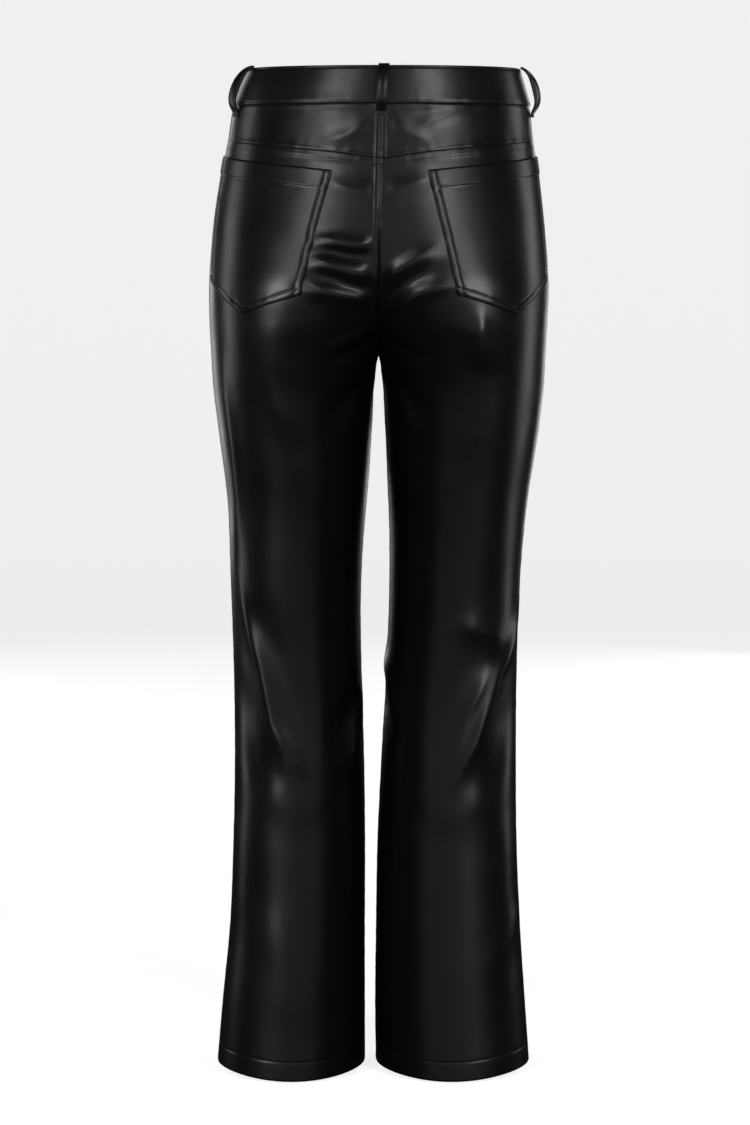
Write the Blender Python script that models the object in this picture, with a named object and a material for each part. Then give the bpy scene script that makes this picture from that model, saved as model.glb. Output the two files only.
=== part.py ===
"""High-waisted straight-leg trousers in black faux leather, filled out as worn and empty.

Metres, +Z up. The wearer faces -Y, so the seat is at +Y and the wearer's left leg at +X.
The origin is the middle of the waist opening, at half the waistband's height.

Every cloth piece is read from one surface: a tube for each leg, which widens upwards into
half of the hips and is cut off there by the centre seam. A place on it is a turn round the
tube and a height. The turn is 0 at the front, 90 at the side, 180 at the back and 270 (-90)
at the inside leg. A lift moves a point off the surface, outwards.
"""
import math

import bmesh
import bpy
import numpy as np
from mathutils import Matrix, Vector

MM = 0.001

# Cloth
WALL = 1.6 * MM             # coated cloth with its backing
SEAM_GAP = 0.3 * MM         # between neighbouring pieces
HEM_HEIGHT = 20 * MM        # turned up once, so the wall is double there

# Waistband: double cloth, lapped at the front, the left end on top
WAIST_TOP = 19 * MM
WAIST_SEAM = -19 * MM
BAND_WALL = 3.2 * MM
BAND_LIFT = 1.2 * MM
BAND_EDGE = 0.9 * MM        # rounding of its folded edges
BAND_COLUMNS = 76
LAP_OVER = 14 * MM          # left end, past the centre front
LAP_UNDER = 22 * MM         # right end, under the left one
LAP_RAMP = 30 * MM          # where the left end rises over the right one
LAP_CLEAR = 3 * MM          # it stays up this far past the right end
BAND_RADIUS = 102 * MM      # turns the laps' lengths into turns

# Yoke seam, a shallow V on the back
YOKE_SIDE = -54 * MM
YOKE_CENTRE = -73 * MM

# Heights of the leg
CROTCH = -270 * MM
HEM = -1007 * MM
HEM_DIP = 7 * MM            # the back of the hem hangs lower than the front
HEM_DIP_FROM = -880 * MM    # rows of the back start to sag here, and the sag is whole
HEM_DIP_RUN = 130 * MM      # this far below
SETTLE_RUN = 110 * MM       # the yoke's V has gone from the rows this far below it

# Seam lines
SIDE_TURN = 97              # side seam, just behind the side
COLUMNS = 14                # of each panel, from one seam to the other

# Rows of a leg's points in millimetres: even runs, closer where the shape turns or folds
ROW_RUN_COLUMNS = ("first", "last", "rows")
ROW_RUNS = (
    (-54, -235, 10), (-292, -500, 8), (-520, -770, 15), (-810, -965, 5),
)
CROTCH_ROWS = (22.4, 12.6, 5.6, 1.4, 0, -3, -9)     # from the crotch, upwards
HEM_TURN_STEP = 0.8 * MM    # either side of the turn-up's edge

# Fly: the left front laps the right front, with the zip under it
FLY_LAP = 10 * MM
FLY_STEP = 2.6 * MM
FLY_RAMP_START = 10 * MM
FLY_RAMP_END = 30 * MM
FLY_LAP_LOW = -165 * MM     # the lap is whole above this
FLY_LAP_END = -190 * MM
FLY_FULL = -197 * MM        # it stands out whole above this
FLY_FLAT = -232 * MM

# Shape of the trousers by height, in millimetres: half width, depth to the front and to
# the back, sideways sway of the whole figure, uneven hang of the legs (added to the right
# half width, taken off the left one), and how square the section is (2 is round)
SECTION_COLUMNS = ("height", "outer", "front", "back", "sway", "uneven", "square")
SECTIONS = (
    (25, 136, 96, 101, -4.0, 0, 2.15),
    (19, 137.5, 97, 102, -3.8, 0, 2.15),
    (0, 145, 102, 106, -2.4, 0, 2.18),
    (-19, 150.5, 106, 109, -1.4, 0, 2.20),
    (-54, 155.5, 110, 114, -0.4, 0, 2.25),
    (-90, 162, 112, 120, 0.3, 0, 2.30),
    (-128, 167.5, 113, 127, 1.1, 0, 2.35),
    (-165, 171, 112, 131, 1.2, 0, 2.35),
    (-200, 173, 110, 132, 1.2, 0, 2.35),
    (-235, 172.5, 108, 126, 1.6, 0, 2.30),
    (-270, 171, 105, 116, 1.6, 0, 2.25),
    (-300, 169.5, 102, 108, 1.6, 0, 2.20),
    (-350, 164, 97, 98, 1.5, 0, 2.15),
    (-420, 154.5, 89, 86, 2.6, 0, 2.12),
    (-500, 149.5, 81, 75, 4.8, 0, 2.12),
    (-600, 146.5, 74, 66, 5.7, 0.8, 2.12),
    (-690, 146, 70, 64, 6.2, 1.4, 2.12),
    (-780, 147.5, 69, 65, 7.2, 2.0, 2.12),
    (-860, 151, 69, 67, 7.6, 2.4, 2.10),
    (-945, 158, 70, 70, 8.5, 2.0, 2.08),
    (-1020, 164, 71, 73, 8.5, 1.4, 2.06),
)

# Where each leg's tube ends towards the middle (negative is past the centre seam), and where
# the other leg's cloth keeps it flat, which opens fast just under the crotch
INSIDE_COLUMNS = ("height", "inner", "flat")
INSIDE = (
    (25, -136, -200), (-19, -150.5, -200), (-54, -155.5, -200), (-90, -162, -200),
    (-128, -158, -200), (-165, -112, -160), (-200, -66, -110), (-225, -38, -62),
    (-245, -20, -26), (-258, -12, -9), (-270, -6, -0.8), (-276, -3.5, 1.2), (-290, 1.0, 2.7),
    (-340, 6.0, 4.2), (-400, 9.6, 4), (-460, 13.3, 4), (-525, 14.5, 4), (-600, 12.5, 4),
    (-690, 8.8, 3), (-780, 6.2, 1), (-860, 5.7, 0), (-945, 5.2, 0), (-1020, 5.6, 0),
)
FLAT_BLEND = 1.4 * MM       # how softly the tube turns into that flat

# Large folds, as soft ridges (troughs where the rise is negative), each along a path of
# (turn, height) points from its upper end; widths, rises and heights in millimetres
FOLD_COLUMNS = ("leg", "width", "rise", "path")
FOLDS = (
    ("left", 14, 4.6, ((128, -500), (136, -529), (149, -586), (158, -646), (176, -706))),
    ("left", 18, -4.5, ((156, -530), (168, -600), (184, -680))),
    ("left", 14, 3.5, ((262, -590), (246, -650), (220, -715))),
    ("left", 16, -3.0, ((238, -600), (214, -690))),
    ("left", 22, 3.0, ((152, -716), (196, -738))),
    ("left", 17, -2.5, ((122, -580), (138, -680), (150, -730))),
    ("left", 17, 2.4, ((160, -226), (172, -290), (180, -370))),
    ("left", 18, 2.4, ((124, -300), (132, -420), (126, -500))),
    ("left", 14, -3.0, ((228, -285), (196, -350))),
    ("left", 18, -3.0, ((22, -300), (46, -400))),
    ("left", 14, 3.5, ((58, -520), (20, -600))),
    ("left", 14, -3.0, ((40, -590), (-10, -660))),
    ("left", 15, 3.0, ((-30, -570), (6, -690))),
    ("left", 18, 2.5, ((12, -860), (-14, -960))),
    ("left", 20, 2.2, ((118, -750), (124, -850))),
    ("left", 20, 2.2, ((160, -850), (186, -950))),
    ("right", 14, 4.6, ((92, -505), (118, -560), (139, -595), (157, -664), (176, -714))),
    ("right", 18, -4.5, ((160, -565), (174, -620), (190, -690))),
    ("right", 16, 2.6, ((176, -543), (140, -560))),
    ("right", 14, 3.2, ((292, -566), (250, -600), (226, -660))),
    ("right", 16, -2.6, ((270, -600), (232, -680))),
    ("right", 22, 3.0, ((150, -722), (196, -740))),
    ("right", 17, -2.5, ((118, -600), (136, -690), (150, -730))),
    ("right", 17, 2.4, ((168, -222), (168, -290))),
    ("right", 18, 2.4, ((154, -290), (150, -420))),
    ("right", 14, -3.0, ((226, -285), (200, -340))),
    ("right", 18, -3.0, ((20, -300), (44, -410))),
    ("right", 14, 3.5, ((62, -530), (24, -640))),
    ("right", 14, -3.0, ((30, -620), (-20, -680))),
    ("right", 15, 3.0, ((-36, -560), (2, -660))),
    ("right", 20, 2.6, ((120, -740), (124, -830))),
    ("right", 15, 2.4, ((104, -842), (122, -868), (142, -892))),
    ("right", 18, 2.5, ((8, -850), (-16, -950))),
)
FOLD_DEGREE = 1.3           # millimetres to a degree, for how far along a fold a place is
FOLD_TAPER = 0.38           # share of its length over which a fold rises at each end
CENTRE_FADE = 16 * MM       # folds die out this far from the centre seams

# Back patch pockets, flat sizes. The place is along the seat from the centre back seam
POCKET_WALL = 1.5 * MM
POCKET_LIFT = 0.55 * MM     # clear of the flat faces under it
POCKET_TOP_WIDTH = 148 * MM
POCKET_LOW_WIDTH = 126 * MM
POCKET_SIDE = 124 * MM      # height of its straight sides
POCKET_POINT = 26 * MM      # depth of the pointed lower edge
POCKET_MIDDLE = 121 * MM    # its top's middle from the centre back seam
POCKET_TOP = -77 * MM
POCKET_TILT = 6             # leans out at the bottom
POCKET_DRIFT = 8 * MM       # and its foot moves out with the widening hips
POCKET_CELLS = 14
POCKET_ROWS = 8
SEAT_TURNS = (185.0, 20.0, 90)      # places where the way round the seat is measured

# Belt loops: a strap bowed out from the band, its foot on the yoke
LOOP_WIDTH = 11 * MM
LOOP_WALL = 2.0 * MM
LOOP_PATH_COLUMNS = ("height", "standoff")
LOOP_PATH = (
    (19.6, 1.7), (18.2, 1.9), (15.5, 4.4), (11, 7.0), (5, 8.5), (-2, 9.2), (-9, 9.1),
    (-15, 8.2), (-19.5, 6.1), (-23, 3.2), (-26, 1.0), (-30, 0.4),
)
LOOPS = (
    ("loop_centre_back", 1, 180),
    ("loop_side_left", 1, 105),
    ("loop_side_right", -1, 95),
    ("loop_front_left", 1, 34),
    ("loop_front_right", -1, 34),
)

# Button on the lapped end of the band
BUTTON_RADIUS = 8.5 * MM
BUTTON_HEIGHT = 3.6 * MM
BUTTON_RIM = 1.2 * MM
BUTTON_HOLLOW = 5.2 * MM
BUTTON_RIM_STEPS = 4
BUTTON_SIDES = 24
BUTTON_X = -3 * MM          # from the centre front

# Zip behind the fly, closed: tape, chain and slider with its pull laid flat. Each strip runs
# along the centre front; edges across it, and its outer and inner lifts, in millimetres
ZIP_MIDDLE = 4 * MM
ZIP_STRIPS = {
    "tape": {"half": 13.0, "outer": -2.6, "inner": -3.6, "top": -24, "low": -168},
    "chain": {"half": 2.6, "outer": -0.6, "inner": -4.2, "top": -27, "low": -163},
    "slider": {"half": 3.4, "outer": 0.2, "inner": -5.0, "top": -28, "low": -39},
    "pull": {"half": 1.6, "outer": 0.2, "inner": -4.2, "top": -39, "low": -58},
}

LEATHER = {"color": (0.012, 0.012, 0.013), "roughness": 0.36, "metallic": 0.0}
TAPE = {"color": (0.010, 0.010, 0.010), "roughness": 0.85, "metallic": 0.0}
METAL = {"color": (0.10, 0.10, 0.105), "roughness": 0.32, "metallic": 1.0}


# ---------------------------------------------------------------- surface

def ease(value):
    """Smooth step from 0 to 1."""
    value = np.clip(value, 0.0, 1.0)
    return value * value * (3.0 - 2.0 * value)


def table(columns, rows):
    """Columns of a table by name, with rising heights in metres."""
    data = np.array(sorted(rows), dtype=float)
    named = {name: data[:, place] for place, name in enumerate(columns)}
    named["height"] = named["height"] * MM
    return named


def read(named, name, height):
    """A column's value at any height, on a smooth curve through its rows."""
    rows = named["height"]
    values = named[name]
    slopes = np.gradient(values, rows)
    height = np.clip(height, rows[0], rows[-1])
    low = np.clip(np.searchsorted(rows, height) - 1, 0, len(rows) - 2)
    step = rows[low + 1] - rows[low]
    t = (height - rows[low]) / step
    rise = values[low + 1] - values[low]
    start = slopes[low] * step
    end = slopes[low + 1] * step
    bend = start - 2 * rise + end
    return values[low] + t * (start + t * (rise - start + (t - 1) * bend))


SECTION = table(SECTION_COLUMNS, SECTIONS)
INNER = table(INSIDE_COLUMNS, INSIDE)
LOOP_BOW = table(LOOP_PATH_COLUMNS, LOOP_PATH)


def section(side, height):
    """Centre, half width, half depth, sway and squareness of a leg's tube."""
    outer = read(SECTION, "outer", height) * MM
    inner = read(INNER, "inner", height) * MM
    inner = np.maximum(inner, -outer)
    front = read(SECTION, "front", height) * MM
    back = read(SECTION, "back", height) * MM
    sway = read(SECTION, "sway", height) * MM
    square = read(SECTION, "square", height)
    uneven = read(SECTION, "uneven", height) * MM
    centre = ((outer + inner) / 2, (back - front) / 2)
    return centre, (outer - inner) / 2 - side * uneven, (front + back) / 2, sway, square


def fold_height(side, turn, height, reach):
    """How far the folds move the surface out at a place on it."""
    total = np.zeros(np.broadcast(turn, height).shape)
    for row in FOLDS:
        fold = dict(zip(FOLD_COLUMNS, row))
        sign = 1 if fold["leg"] == "left" else -1
        for wrap in (0, -360):
            away, share = along_fold(fold["path"], turn - wrap, height, reach)
            swell = ease(np.minimum(share, 1.0 - share) / FOLD_TAPER)
            rise = fold["rise"] * MM * swell
            total += (side == sign) * rise * np.exp(-(away / (fold["width"] * MM)) ** 2)
    return total


def along_fold(path, turn, height, reach):
    """Distance of a place from a fold's line, and how far along the line it is, 0 to 1."""
    parts = list(zip(path, path[1:]))
    runs = [math.hypot((b[0] - a[0]) * FOLD_DEGREE, b[1] - a[1]) for a, b in parts]
    nearest = np.full(np.broadcast(turn, height).shape, np.inf)
    share = np.zeros(nearest.shape)
    passed = 0.0
    for (start, end), run in zip(parts, runs):
        along = np.radians(end[0] - start[0]) * reach
        drop = (end[1] - start[1]) * MM
        across = np.radians(turn - start[0]) * reach
        down = height - start[1] * MM
        t = np.clip((across * along + down * drop) / (along ** 2 + drop ** 2), 0.0, 1.0)
        away = np.hypot(across - t * along, down - t * drop)
        share = np.where(away < nearest, (passed + t * run) / sum(runs), share)
        nearest = np.minimum(nearest, away)
        passed += run
    return nearest, share


def place(side, turn, height):
    """A point of the surface, without lift. side is 1 for the left leg, -1 for the right."""
    centre, half, depth, sway, square = section(side, height)
    angle = np.radians(turn)
    across = np.abs(np.sin(angle) / half) ** square
    along = np.abs(np.cos(angle) / depth) ** square
    reach = (across + along) ** (-1.0 / square)
    from_seam = np.abs(centre[0] + reach * np.sin(angle))
    high = ease((height - CROTCH) / (20 * MM))
    keep = 1.0 - high * (1.0 - ease(from_seam / CENTRE_FADE))
    reach = reach + keep * fold_height(side, turn, height, reach)
    flat = read(INNER, "flat", height) * MM
    out = (centre[0] + reach * np.sin(angle) - flat) / FLAT_BLEND
    x = flat + FLAT_BLEND * (np.maximum(out, 0) + np.log1p(np.exp(-np.abs(out))))
    y = centre[1] - reach * np.cos(angle)
    return np.stack(np.broadcast_arrays(side * x + sway, y, height), axis=-1)


def surface(side, turn, height, lift=0.0):
    """Points of the surface moved off it by a lift, along its own normal."""
    side, turn, height, lift = np.broadcast_arrays(side, turn, height, lift)
    round_step = 0.5
    down_step = 1.5 * MM
    round_way = place(side, turn + round_step, height) - place(side, turn - round_step, height)
    up_way = place(side, turn, height + down_step) - place(side, turn, height - down_step)
    normal = np.cross(round_way, up_way) * side[..., None]
    normal /= np.linalg.norm(normal, axis=-1, keepdims=True)
    return place(side, turn, height) + normal * lift[..., None]


def seam_turn(side, height, distance, back):
    """Turn at which the tube is a distance from the centre seam, or its inside leg seam."""
    height = np.asarray(height, dtype=float)
    sign = -1.0 if back else 1.0
    inside = np.full(height.shape, -90.0)
    beyond = np.full(height.shape, 60.0)
    sway = section(side, height)[3]

    def from_seam(turn):
        mirrored = 180.0 - turn if back else turn
        return (place(side, mirrored, height)[..., 0] - sway) * side - distance

    open_leg = from_seam(inside) > 0
    for _ in range(40):
        middle = (inside + beyond) / 2
        past = from_seam(middle) > 0
        beyond = np.where(past, middle, beyond)
        inside = np.where(past, inside, middle)
    half_gap = np.degrees(SEAM_GAP / 2 / section(side, height)[1])
    turn = np.where(open_leg, -90.0 + half_gap, (inside + beyond) / 2)
    return turn if sign > 0 else 180.0 - turn


def side_turn(side, height, front):
    """Turn of the side seam's edge of a front or back piece."""
    half_gap = np.degrees(SEAM_GAP / 2 / section(side, height)[1])
    return SIDE_TURN - half_gap if front else SIDE_TURN + half_gap


# ---------------------------------------------------------------- meshes

def material(name, look):
    made = bpy.data.materials.new(name)
    made.use_nodes = True
    shader = made.node_tree.nodes["Principled BSDF"]
    shader.inputs["Base Color"].default_value = (*look["color"], 1.0)
    shader.inputs["Roughness"].default_value = look["roughness"]
    shader.inputs["Metallic"].default_value = look["metallic"]
    made.diffuse_color = (*look["color"], 1.0)
    return made


def add_object(name, vertices, faces, look, collection):
    mesh = bpy.data.meshes.new(name)
    mesh.from_pydata(vertices, [], faces)
    work = bmesh.new()
    work.from_mesh(mesh)
    bmesh.ops.recalc_face_normals(work, faces=work.faces)
    work.to_mesh(mesh)
    work.free()
    mesh.shade_smooth()
    mesh.set_sharp_from_angle(angle=math.radians(40))
    mesh.materials.append(material(name, look))
    made = bpy.data.objects.new(name, mesh)
    collection.objects.link(made)
    return made


def wall_solid(name, outer, inner, look, collection):
    """Two equal grids of points, closed round their edges into one wall."""
    rows, columns = outer.shape[:2]
    vertices = np.concatenate([outer.reshape(-1, 3), inner.reshape(-1, 3)])
    front = np.arange(rows * columns).reshape(rows, columns)
    back = front + rows * columns
    faces = []
    for row in range(rows - 1):
        for column in range(columns - 1):
            corners = ((row, column), (row + 1, column), (row + 1, column + 1), (row, column + 1))
            faces.append([int(front[corner]) for corner in corners])
            faces.append([int(back[corner]) for corner in reversed(corners)])
    border = [(0, c) for c in range(columns - 1)]
    border += [(r, columns - 1) for r in range(rows - 1)]
    border += [(rows - 1, c) for c in range(columns - 1, 0, -1)]
    border += [(r, 0) for r in range(rows - 1, 0, -1)]
    for here, there in zip(border, border[1:] + border[:1]):
        faces.append([int(front[here]), int(front[there]), int(back[there]), int(back[here])])
    return add_object(name, vertices.tolist(), faces, look, collection)


def strip_solid(name, rings, look, collection):
    """A run of equal closed rings of points, with a cap at each end."""
    count, sides = rings.shape[:2]
    vertices = rings.reshape(-1, 3).tolist()
    faces = [list(range(sides))[::-1], list(range((count - 1) * sides, count * sides))]
    for ring in range(count - 1):
        for side in range(sides):
            after = (side + 1) % sides
            low = ring * sides
            high = low + sides
            faces.append([low + side, low + after, high + after, high + side])
    return add_object(name, vertices, faces, look, collection)


# ---------------------------------------------------------------- legs

def row_heights():
    """Heights of the rows of points, from the yoke seam down to the hem."""
    runs = [np.linspace(first, last, count) * MM for first, last, count in ROW_RUNS]
    crotch = CROTCH + np.array(CROTCH_ROWS) * MM
    turned = HEM + HEM_HEIGHT + np.array([HEM_TURN_STEP, -HEM_TURN_STEP])
    return np.concatenate([runs[0], crotch, *runs[1:], turned, [HEM]])


def yoke_rows():
    return np.linspace(WAIST_SEAM, YOKE_SIDE, 4)


def hem_drop(share, front):
    """The hem hangs lower towards the middle of the back."""
    return 0.0 if front else HEM_DIP * np.sin(math.pi * share) ** 2


def wall_at(rows):
    """Wall thickness by row: double in the hem's turn-up."""
    turned = rows < HEM + HEM_HEIGHT
    return np.where(turned, 2 * WALL, WALL)[:, None]


def fly_shape(height):
    """How far the left front laps past the centre, and how far it stands out there."""
    lap = FLY_LAP * ease((height - FLY_LAP_END) / (FLY_LAP_LOW - FLY_LAP_END)) ** 0.7
    step = FLY_STEP * ease((height - FLY_FLAT) / (FLY_FULL - FLY_FLAT))
    return lap, step


def front_panel(name, side, collection):
    rows = np.concatenate([yoke_rows()[:-1], row_heights()])
    rows[0] -= SEAM_GAP / 2
    height = np.repeat(rows[:, None], COLUMNS + 1, axis=1)
    start = seam_turn(side, rows, SEAM_GAP / 2, back=False)[:, None]
    end = side_turn(side, rows, front=True)[:, None]
    share = np.linspace(0.0, 1.0, COLUMNS + 1)[None, :]
    turn = start + (end - start) * share
    sides = np.full(turn.shape, side)
    lift = np.zeros(turn.shape)
    if side > 0:
        lift = lap_fly(turn, height, sides, rows)
    outer = surface(sides, turn, height, lift)
    inner = surface(sides, turn, height, lift - wall_at(rows))
    return wall_solid(name, outer, inner, LEATHER, collection)


def lap_fly(turn, height, sides, rows):
    """Take the front's edge past the centre, onto the other side, and stand it out there."""
    lap, step = fly_shape(rows)
    lapped = rows > FLY_LAP_END
    past = seam_turn(-1, rows, np.maximum(lap, SEAM_GAP), back=False)
    turn[lapped, 0] = past[lapped]
    sides[lapped, 0] = -1
    from_seam = (place(sides, turn, height)[..., 0] - section(sides, height)[3]) * (sides > 0)
    ramp = (from_seam - FLY_RAMP_START) / (FLY_RAMP_END - FLY_RAMP_START)
    return step[:, None] * (1.0 - ease(ramp))


def back_panel(name, side, collection):
    rows = row_heights()
    share = np.linspace(0.0, 1.0, COLUMNS + 1)[None, :]
    height = back_heights(rows, share)
    start = side_turn(side, height, front=False)
    end = seam_turn(side, height, SEAM_GAP / 2, back=True)
    turn = start + (end - start) * share
    outer = surface(side, turn, height)
    inner = surface(side, turn, height, -wall_at(rows))
    return wall_solid(name, outer, inner, LEATHER, collection)


def back_heights(rows, share):
    """Rows of the back, which start on the yoke seam's V and end on the dipped hem."""
    drop = yoke_seam(share) - YOKE_SIDE
    settle = 1.0 - ease((YOKE_SIDE - rows) / SETTLE_RUN)[:, None]
    sag = ease((HEM_DIP_FROM - rows) / HEM_DIP_RUN)[:, None]
    height = rows[:, None] + drop * settle - hem_drop(share, front=False) * sag
    height[0] -= SEAM_GAP / 2
    return height


def yoke_seam(share):
    """Height of the yoke seam, from the side seam (0) to the centre back (1)."""
    return YOKE_SIDE + (YOKE_CENTRE - YOKE_SIDE) * share ** 1.25


def yoke(name, side, collection):
    share = np.linspace(0.0, 1.0, COLUMNS + 1)[None, :]
    down = ((yoke_rows() - WAIST_SEAM) / (YOKE_SIDE - WAIST_SEAM))[:, None]
    height = WAIST_SEAM + (yoke_seam(share) - WAIST_SEAM) * down
    height[0] -= SEAM_GAP / 2
    height[-1] += SEAM_GAP / 2
    start = side_turn(side, height, front=False)
    end = seam_turn(side, height, SEAM_GAP / 2, back=True)
    turn = start + (end - start) * share
    outer = surface(side, turn, height)
    inner = surface(side, turn, height, -WALL)
    return wall_solid(name, outer, inner, LEATHER, collection)


# ---------------------------------------------------------------- pieces laid on

def turn_along_back(side, distance, height):
    """Turn at a distance from the centre back seam, measured on the surface at a height."""
    samples = np.linspace(*SEAT_TURNS)
    result = np.empty(height.shape)
    for place_index, level in np.ndenumerate(height):
        middle = seam_turn(side, np.array(level), 0.0, back=True)
        turns = np.concatenate([[middle], samples[samples < middle]])
        points = place(side, turns, np.full(turns.shape, level))
        lengths = np.linalg.norm(np.diff(points[:, :2], axis=0), axis=1)
        travelled = np.concatenate([[0.0], np.cumsum(lengths)])
        result[place_index] = np.interp(distance[place_index], travelled, turns)
    return result


def pocket(name, side, collection):
    across = np.linspace(-0.5, 0.5, POCKET_CELLS + 1)[None, :]
    down = np.linspace(0.0, 1.0, POCKET_ROWS + 1)[:, None]
    point = POCKET_POINT * (1.0 - 2.0 * np.abs(across))
    length = (POCKET_SIDE + point) * down
    width = POCKET_TOP_WIDTH + (POCKET_LOW_WIDTH - POCKET_TOP_WIDTH) * length / POCKET_SIDE
    along = across * width
    lean = math.radians(POCKET_TILT)
    distance = POCKET_MIDDLE + along * math.cos(lean) + length * math.sin(lean)
    distance += POCKET_DRIFT * down
    height = POCKET_TOP - length * math.cos(lean) + along * math.sin(lean)
    turn = turn_along_back(side, distance, height)
    turn = np.maximum(turn, SIDE_TURN + 2.0)
    outer = surface(side, turn, height, POCKET_LIFT + POCKET_WALL)
    inner = surface(side, turn, height, POCKET_LIFT)
    return wall_solid(name, outer, inner, LEATHER, collection)


def band_ring(turn, lift):
    """One cross-section of the waistband, a strip with rounded long edges."""
    top = WAIST_TOP
    low = WAIST_SEAM + SEAM_GAP / 2
    middle = (top + low) / 2
    outer = BAND_LIFT + lift
    inner = outer - BAND_WALL
    edge = BAND_EDGE
    outline = (
        (top - edge, outer), (top, outer - edge), (top, inner + edge), (top - edge, inner),
        (middle, inner), (low + edge, inner), (low, inner + edge), (low, outer - edge),
        (low + edge, outer), (middle, outer),
    )
    heights = np.array([point[0] for point in outline])
    lifts = np.array([point[1] for point in outline])
    return surface(1, np.full(heights.shape, turn), heights, lifts)


def waistband(name, collection):
    start = -math.degrees(LAP_OVER / BAND_RADIUS)
    end = 360 + math.degrees(LAP_UNDER / BAND_RADIUS)
    under = math.degrees((LAP_UNDER + LAP_CLEAR) / BAND_RADIUS)
    ramp = math.degrees(LAP_RAMP / BAND_RADIUS)
    rings = []
    for turn in np.linspace(start, end, BAND_COLUMNS + 1):
        lift = (BAND_WALL + SEAM_GAP) * ease((under + ramp - turn) / ramp)
        rings.append(band_ring(turn, lift))
    return strip_solid(name, np.array(rings), LEATHER, collection)


def belt_loop(name, side, turn, collection):
    """A strap that follows the loop's bow, as wide as it is cut all the way."""
    heights = np.array([row[0] for row in LOOP_PATH]) * MM
    standoff = read(LOOP_BOW, "standoff", heights) * MM
    points = surface(side, np.full(heights.shape, float(turn)), heights, standoff)
    way = np.gradient(points, axis=0)
    way /= np.linalg.norm(way, axis=1, keepdims=True)
    middle = surface(side, float(turn), np.array(0.0))
    beside = surface(side, turn + 1.0, np.array(0.0)) - surface(side, turn - 1.0, np.array(0.0))
    beside /= np.linalg.norm(beside)
    out = np.cross(way, beside)
    out *= np.sign(np.sum(out * (middle * (1, 1, 0)), axis=1))[:, None]
    half = beside * LOOP_WIDTH / 2
    rings = np.stack([
        points - half, points + half,
        points + half + out * LOOP_WALL, points - half + out * LOOP_WALL,
    ], axis=1)
    return strip_solid(name, rings, LEATHER, collection)


def button(name, collection):
    """A shank button: a rimmed disc turned from its profile, square to the band."""
    rim = BUTTON_RADIUS - BUTTON_RIM
    profile = [(rim, 0.0)]
    for part in range(BUTTON_RIM_STEPS + 1):
        angle = math.pi * (part / BUTTON_RIM_STEPS - 0.5)
        height = 0.4 * MM + BUTTON_RIM * (1 + math.sin(angle))
        profile.append((rim + BUTTON_RIM * math.cos(angle), height))
    profile.append((BUTTON_HOLLOW, BUTTON_HEIGHT - 1.4 * MM))
    work = bmesh.new()
    ring = [work.verts.new((out, 0.0, up)) for out, up in profile]
    for near, far in zip(ring, ring[1:]):
        work.edges.new((near, far))
    bmesh.ops.spin(
        work, geom=work.verts[:] + work.edges[:], cent=(0, 0, 0), axis=(0, 0, 1),
        angle=2 * math.pi, steps=BUTTON_SIDES, use_merge=True,
    )
    bmesh.ops.remove_doubles(work, verts=work.verts[:], dist=0.01 * MM)
    bmesh.ops.holes_fill(work, edges=work.edges[:], sides=0)
    lift = BAND_LIFT + BAND_WALL + 2 * SEAM_GAP
    middle = np.array(0.0)
    turn = seam_turn(-1, middle, -BUTTON_X, back=False)
    seat = Vector(surface(-1, turn, middle, lift))
    out = Vector(surface(-1, turn, middle, lift + MM)) - seat
    turned = out.to_track_quat("Z", "Y").to_matrix().to_4x4()
    work.transform(Matrix.Translation(seat) @ turned)
    vertices = [vertex.co[:] for vertex in work.verts]
    faces = [[vertex.index for vertex in face.verts] for face in work.faces]
    work.free()
    return add_object(name, vertices, faces, METAL, collection)


def zip_closed(name, collection):
    """Tape, chain, slider and pull as one strip, thicker where each of them lies."""
    fine = 0.25
    halves = sorted({strip["half"] for strip in ZIP_STRIPS.values()})
    across = []
    for half in halves:
        across += [half - fine, half + fine] if half < halves[-1] else [half]
    across = sorted([-x for x in across] + across)
    ends = sorted({strip[end] for strip in ZIP_STRIPS.values() for end in ("top", "low")})
    heights = []
    for end in ends:
        edge = end in (ends[0], ends[-1])
        heights += [end] if edge else [end - fine, end + fine]
    between = np.linspace(ends[0], heights[-6], 8)[1:-1]
    heights = sorted(set(heights) | set(between.tolist()), reverse=True)
    outer = np.empty((len(heights), len(across)))
    inner = np.empty_like(outer)
    for row, level in enumerate(heights):
        for column, x in enumerate(across):
            lying = [
                strip for strip in ZIP_STRIPS.values()
                if abs(x) <= strip["half"] and strip["low"] <= level <= strip["top"]
            ]
            outer[row, column] = max(strip["outer"] for strip in lying)
            inner[row, column] = min(strip["inner"] for strip in lying)
    level = np.repeat(np.array(heights)[:, None] * MM, len(across), axis=1)
    distance = ZIP_MIDDLE + np.array(across)[None, :] * MM + np.zeros(level.shape)
    sides = np.where(distance > 0, 1, -1)
    turn = np.where(
        distance > 0,
        seam_turn(1, level, distance, back=False),
        seam_turn(-1, level, -distance, back=False),
    )
    return wall_solid(
        name, surface(sides, turn, level, outer * MM), surface(sides, turn, level, inner * MM),
        TAPE, collection,
    )


def main():
    for old in list(bpy.data.objects):
        bpy.data.objects.remove(old)
    collection = bpy.data.collections.new("faux_leather_trousers")
    bpy.context.scene.collection.children.link(collection)
    for word, side in (("left", 1), ("right", -1)):
        front_panel("front_" + word, side, collection)
        back_panel("back_" + word, side, collection)
        yoke("yoke_" + word, side, collection)
        pocket("pocket_" + word, side, collection)
    waistband("waistband", collection)
    for name, side, turn in LOOPS:
        belt_loop(name, side, turn, collection)
    button("button", collection)
    zip_closed("zip", collection)


main()
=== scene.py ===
import math

import bpy
import numpy as np
from mathutils import Matrix, Vector


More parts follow.
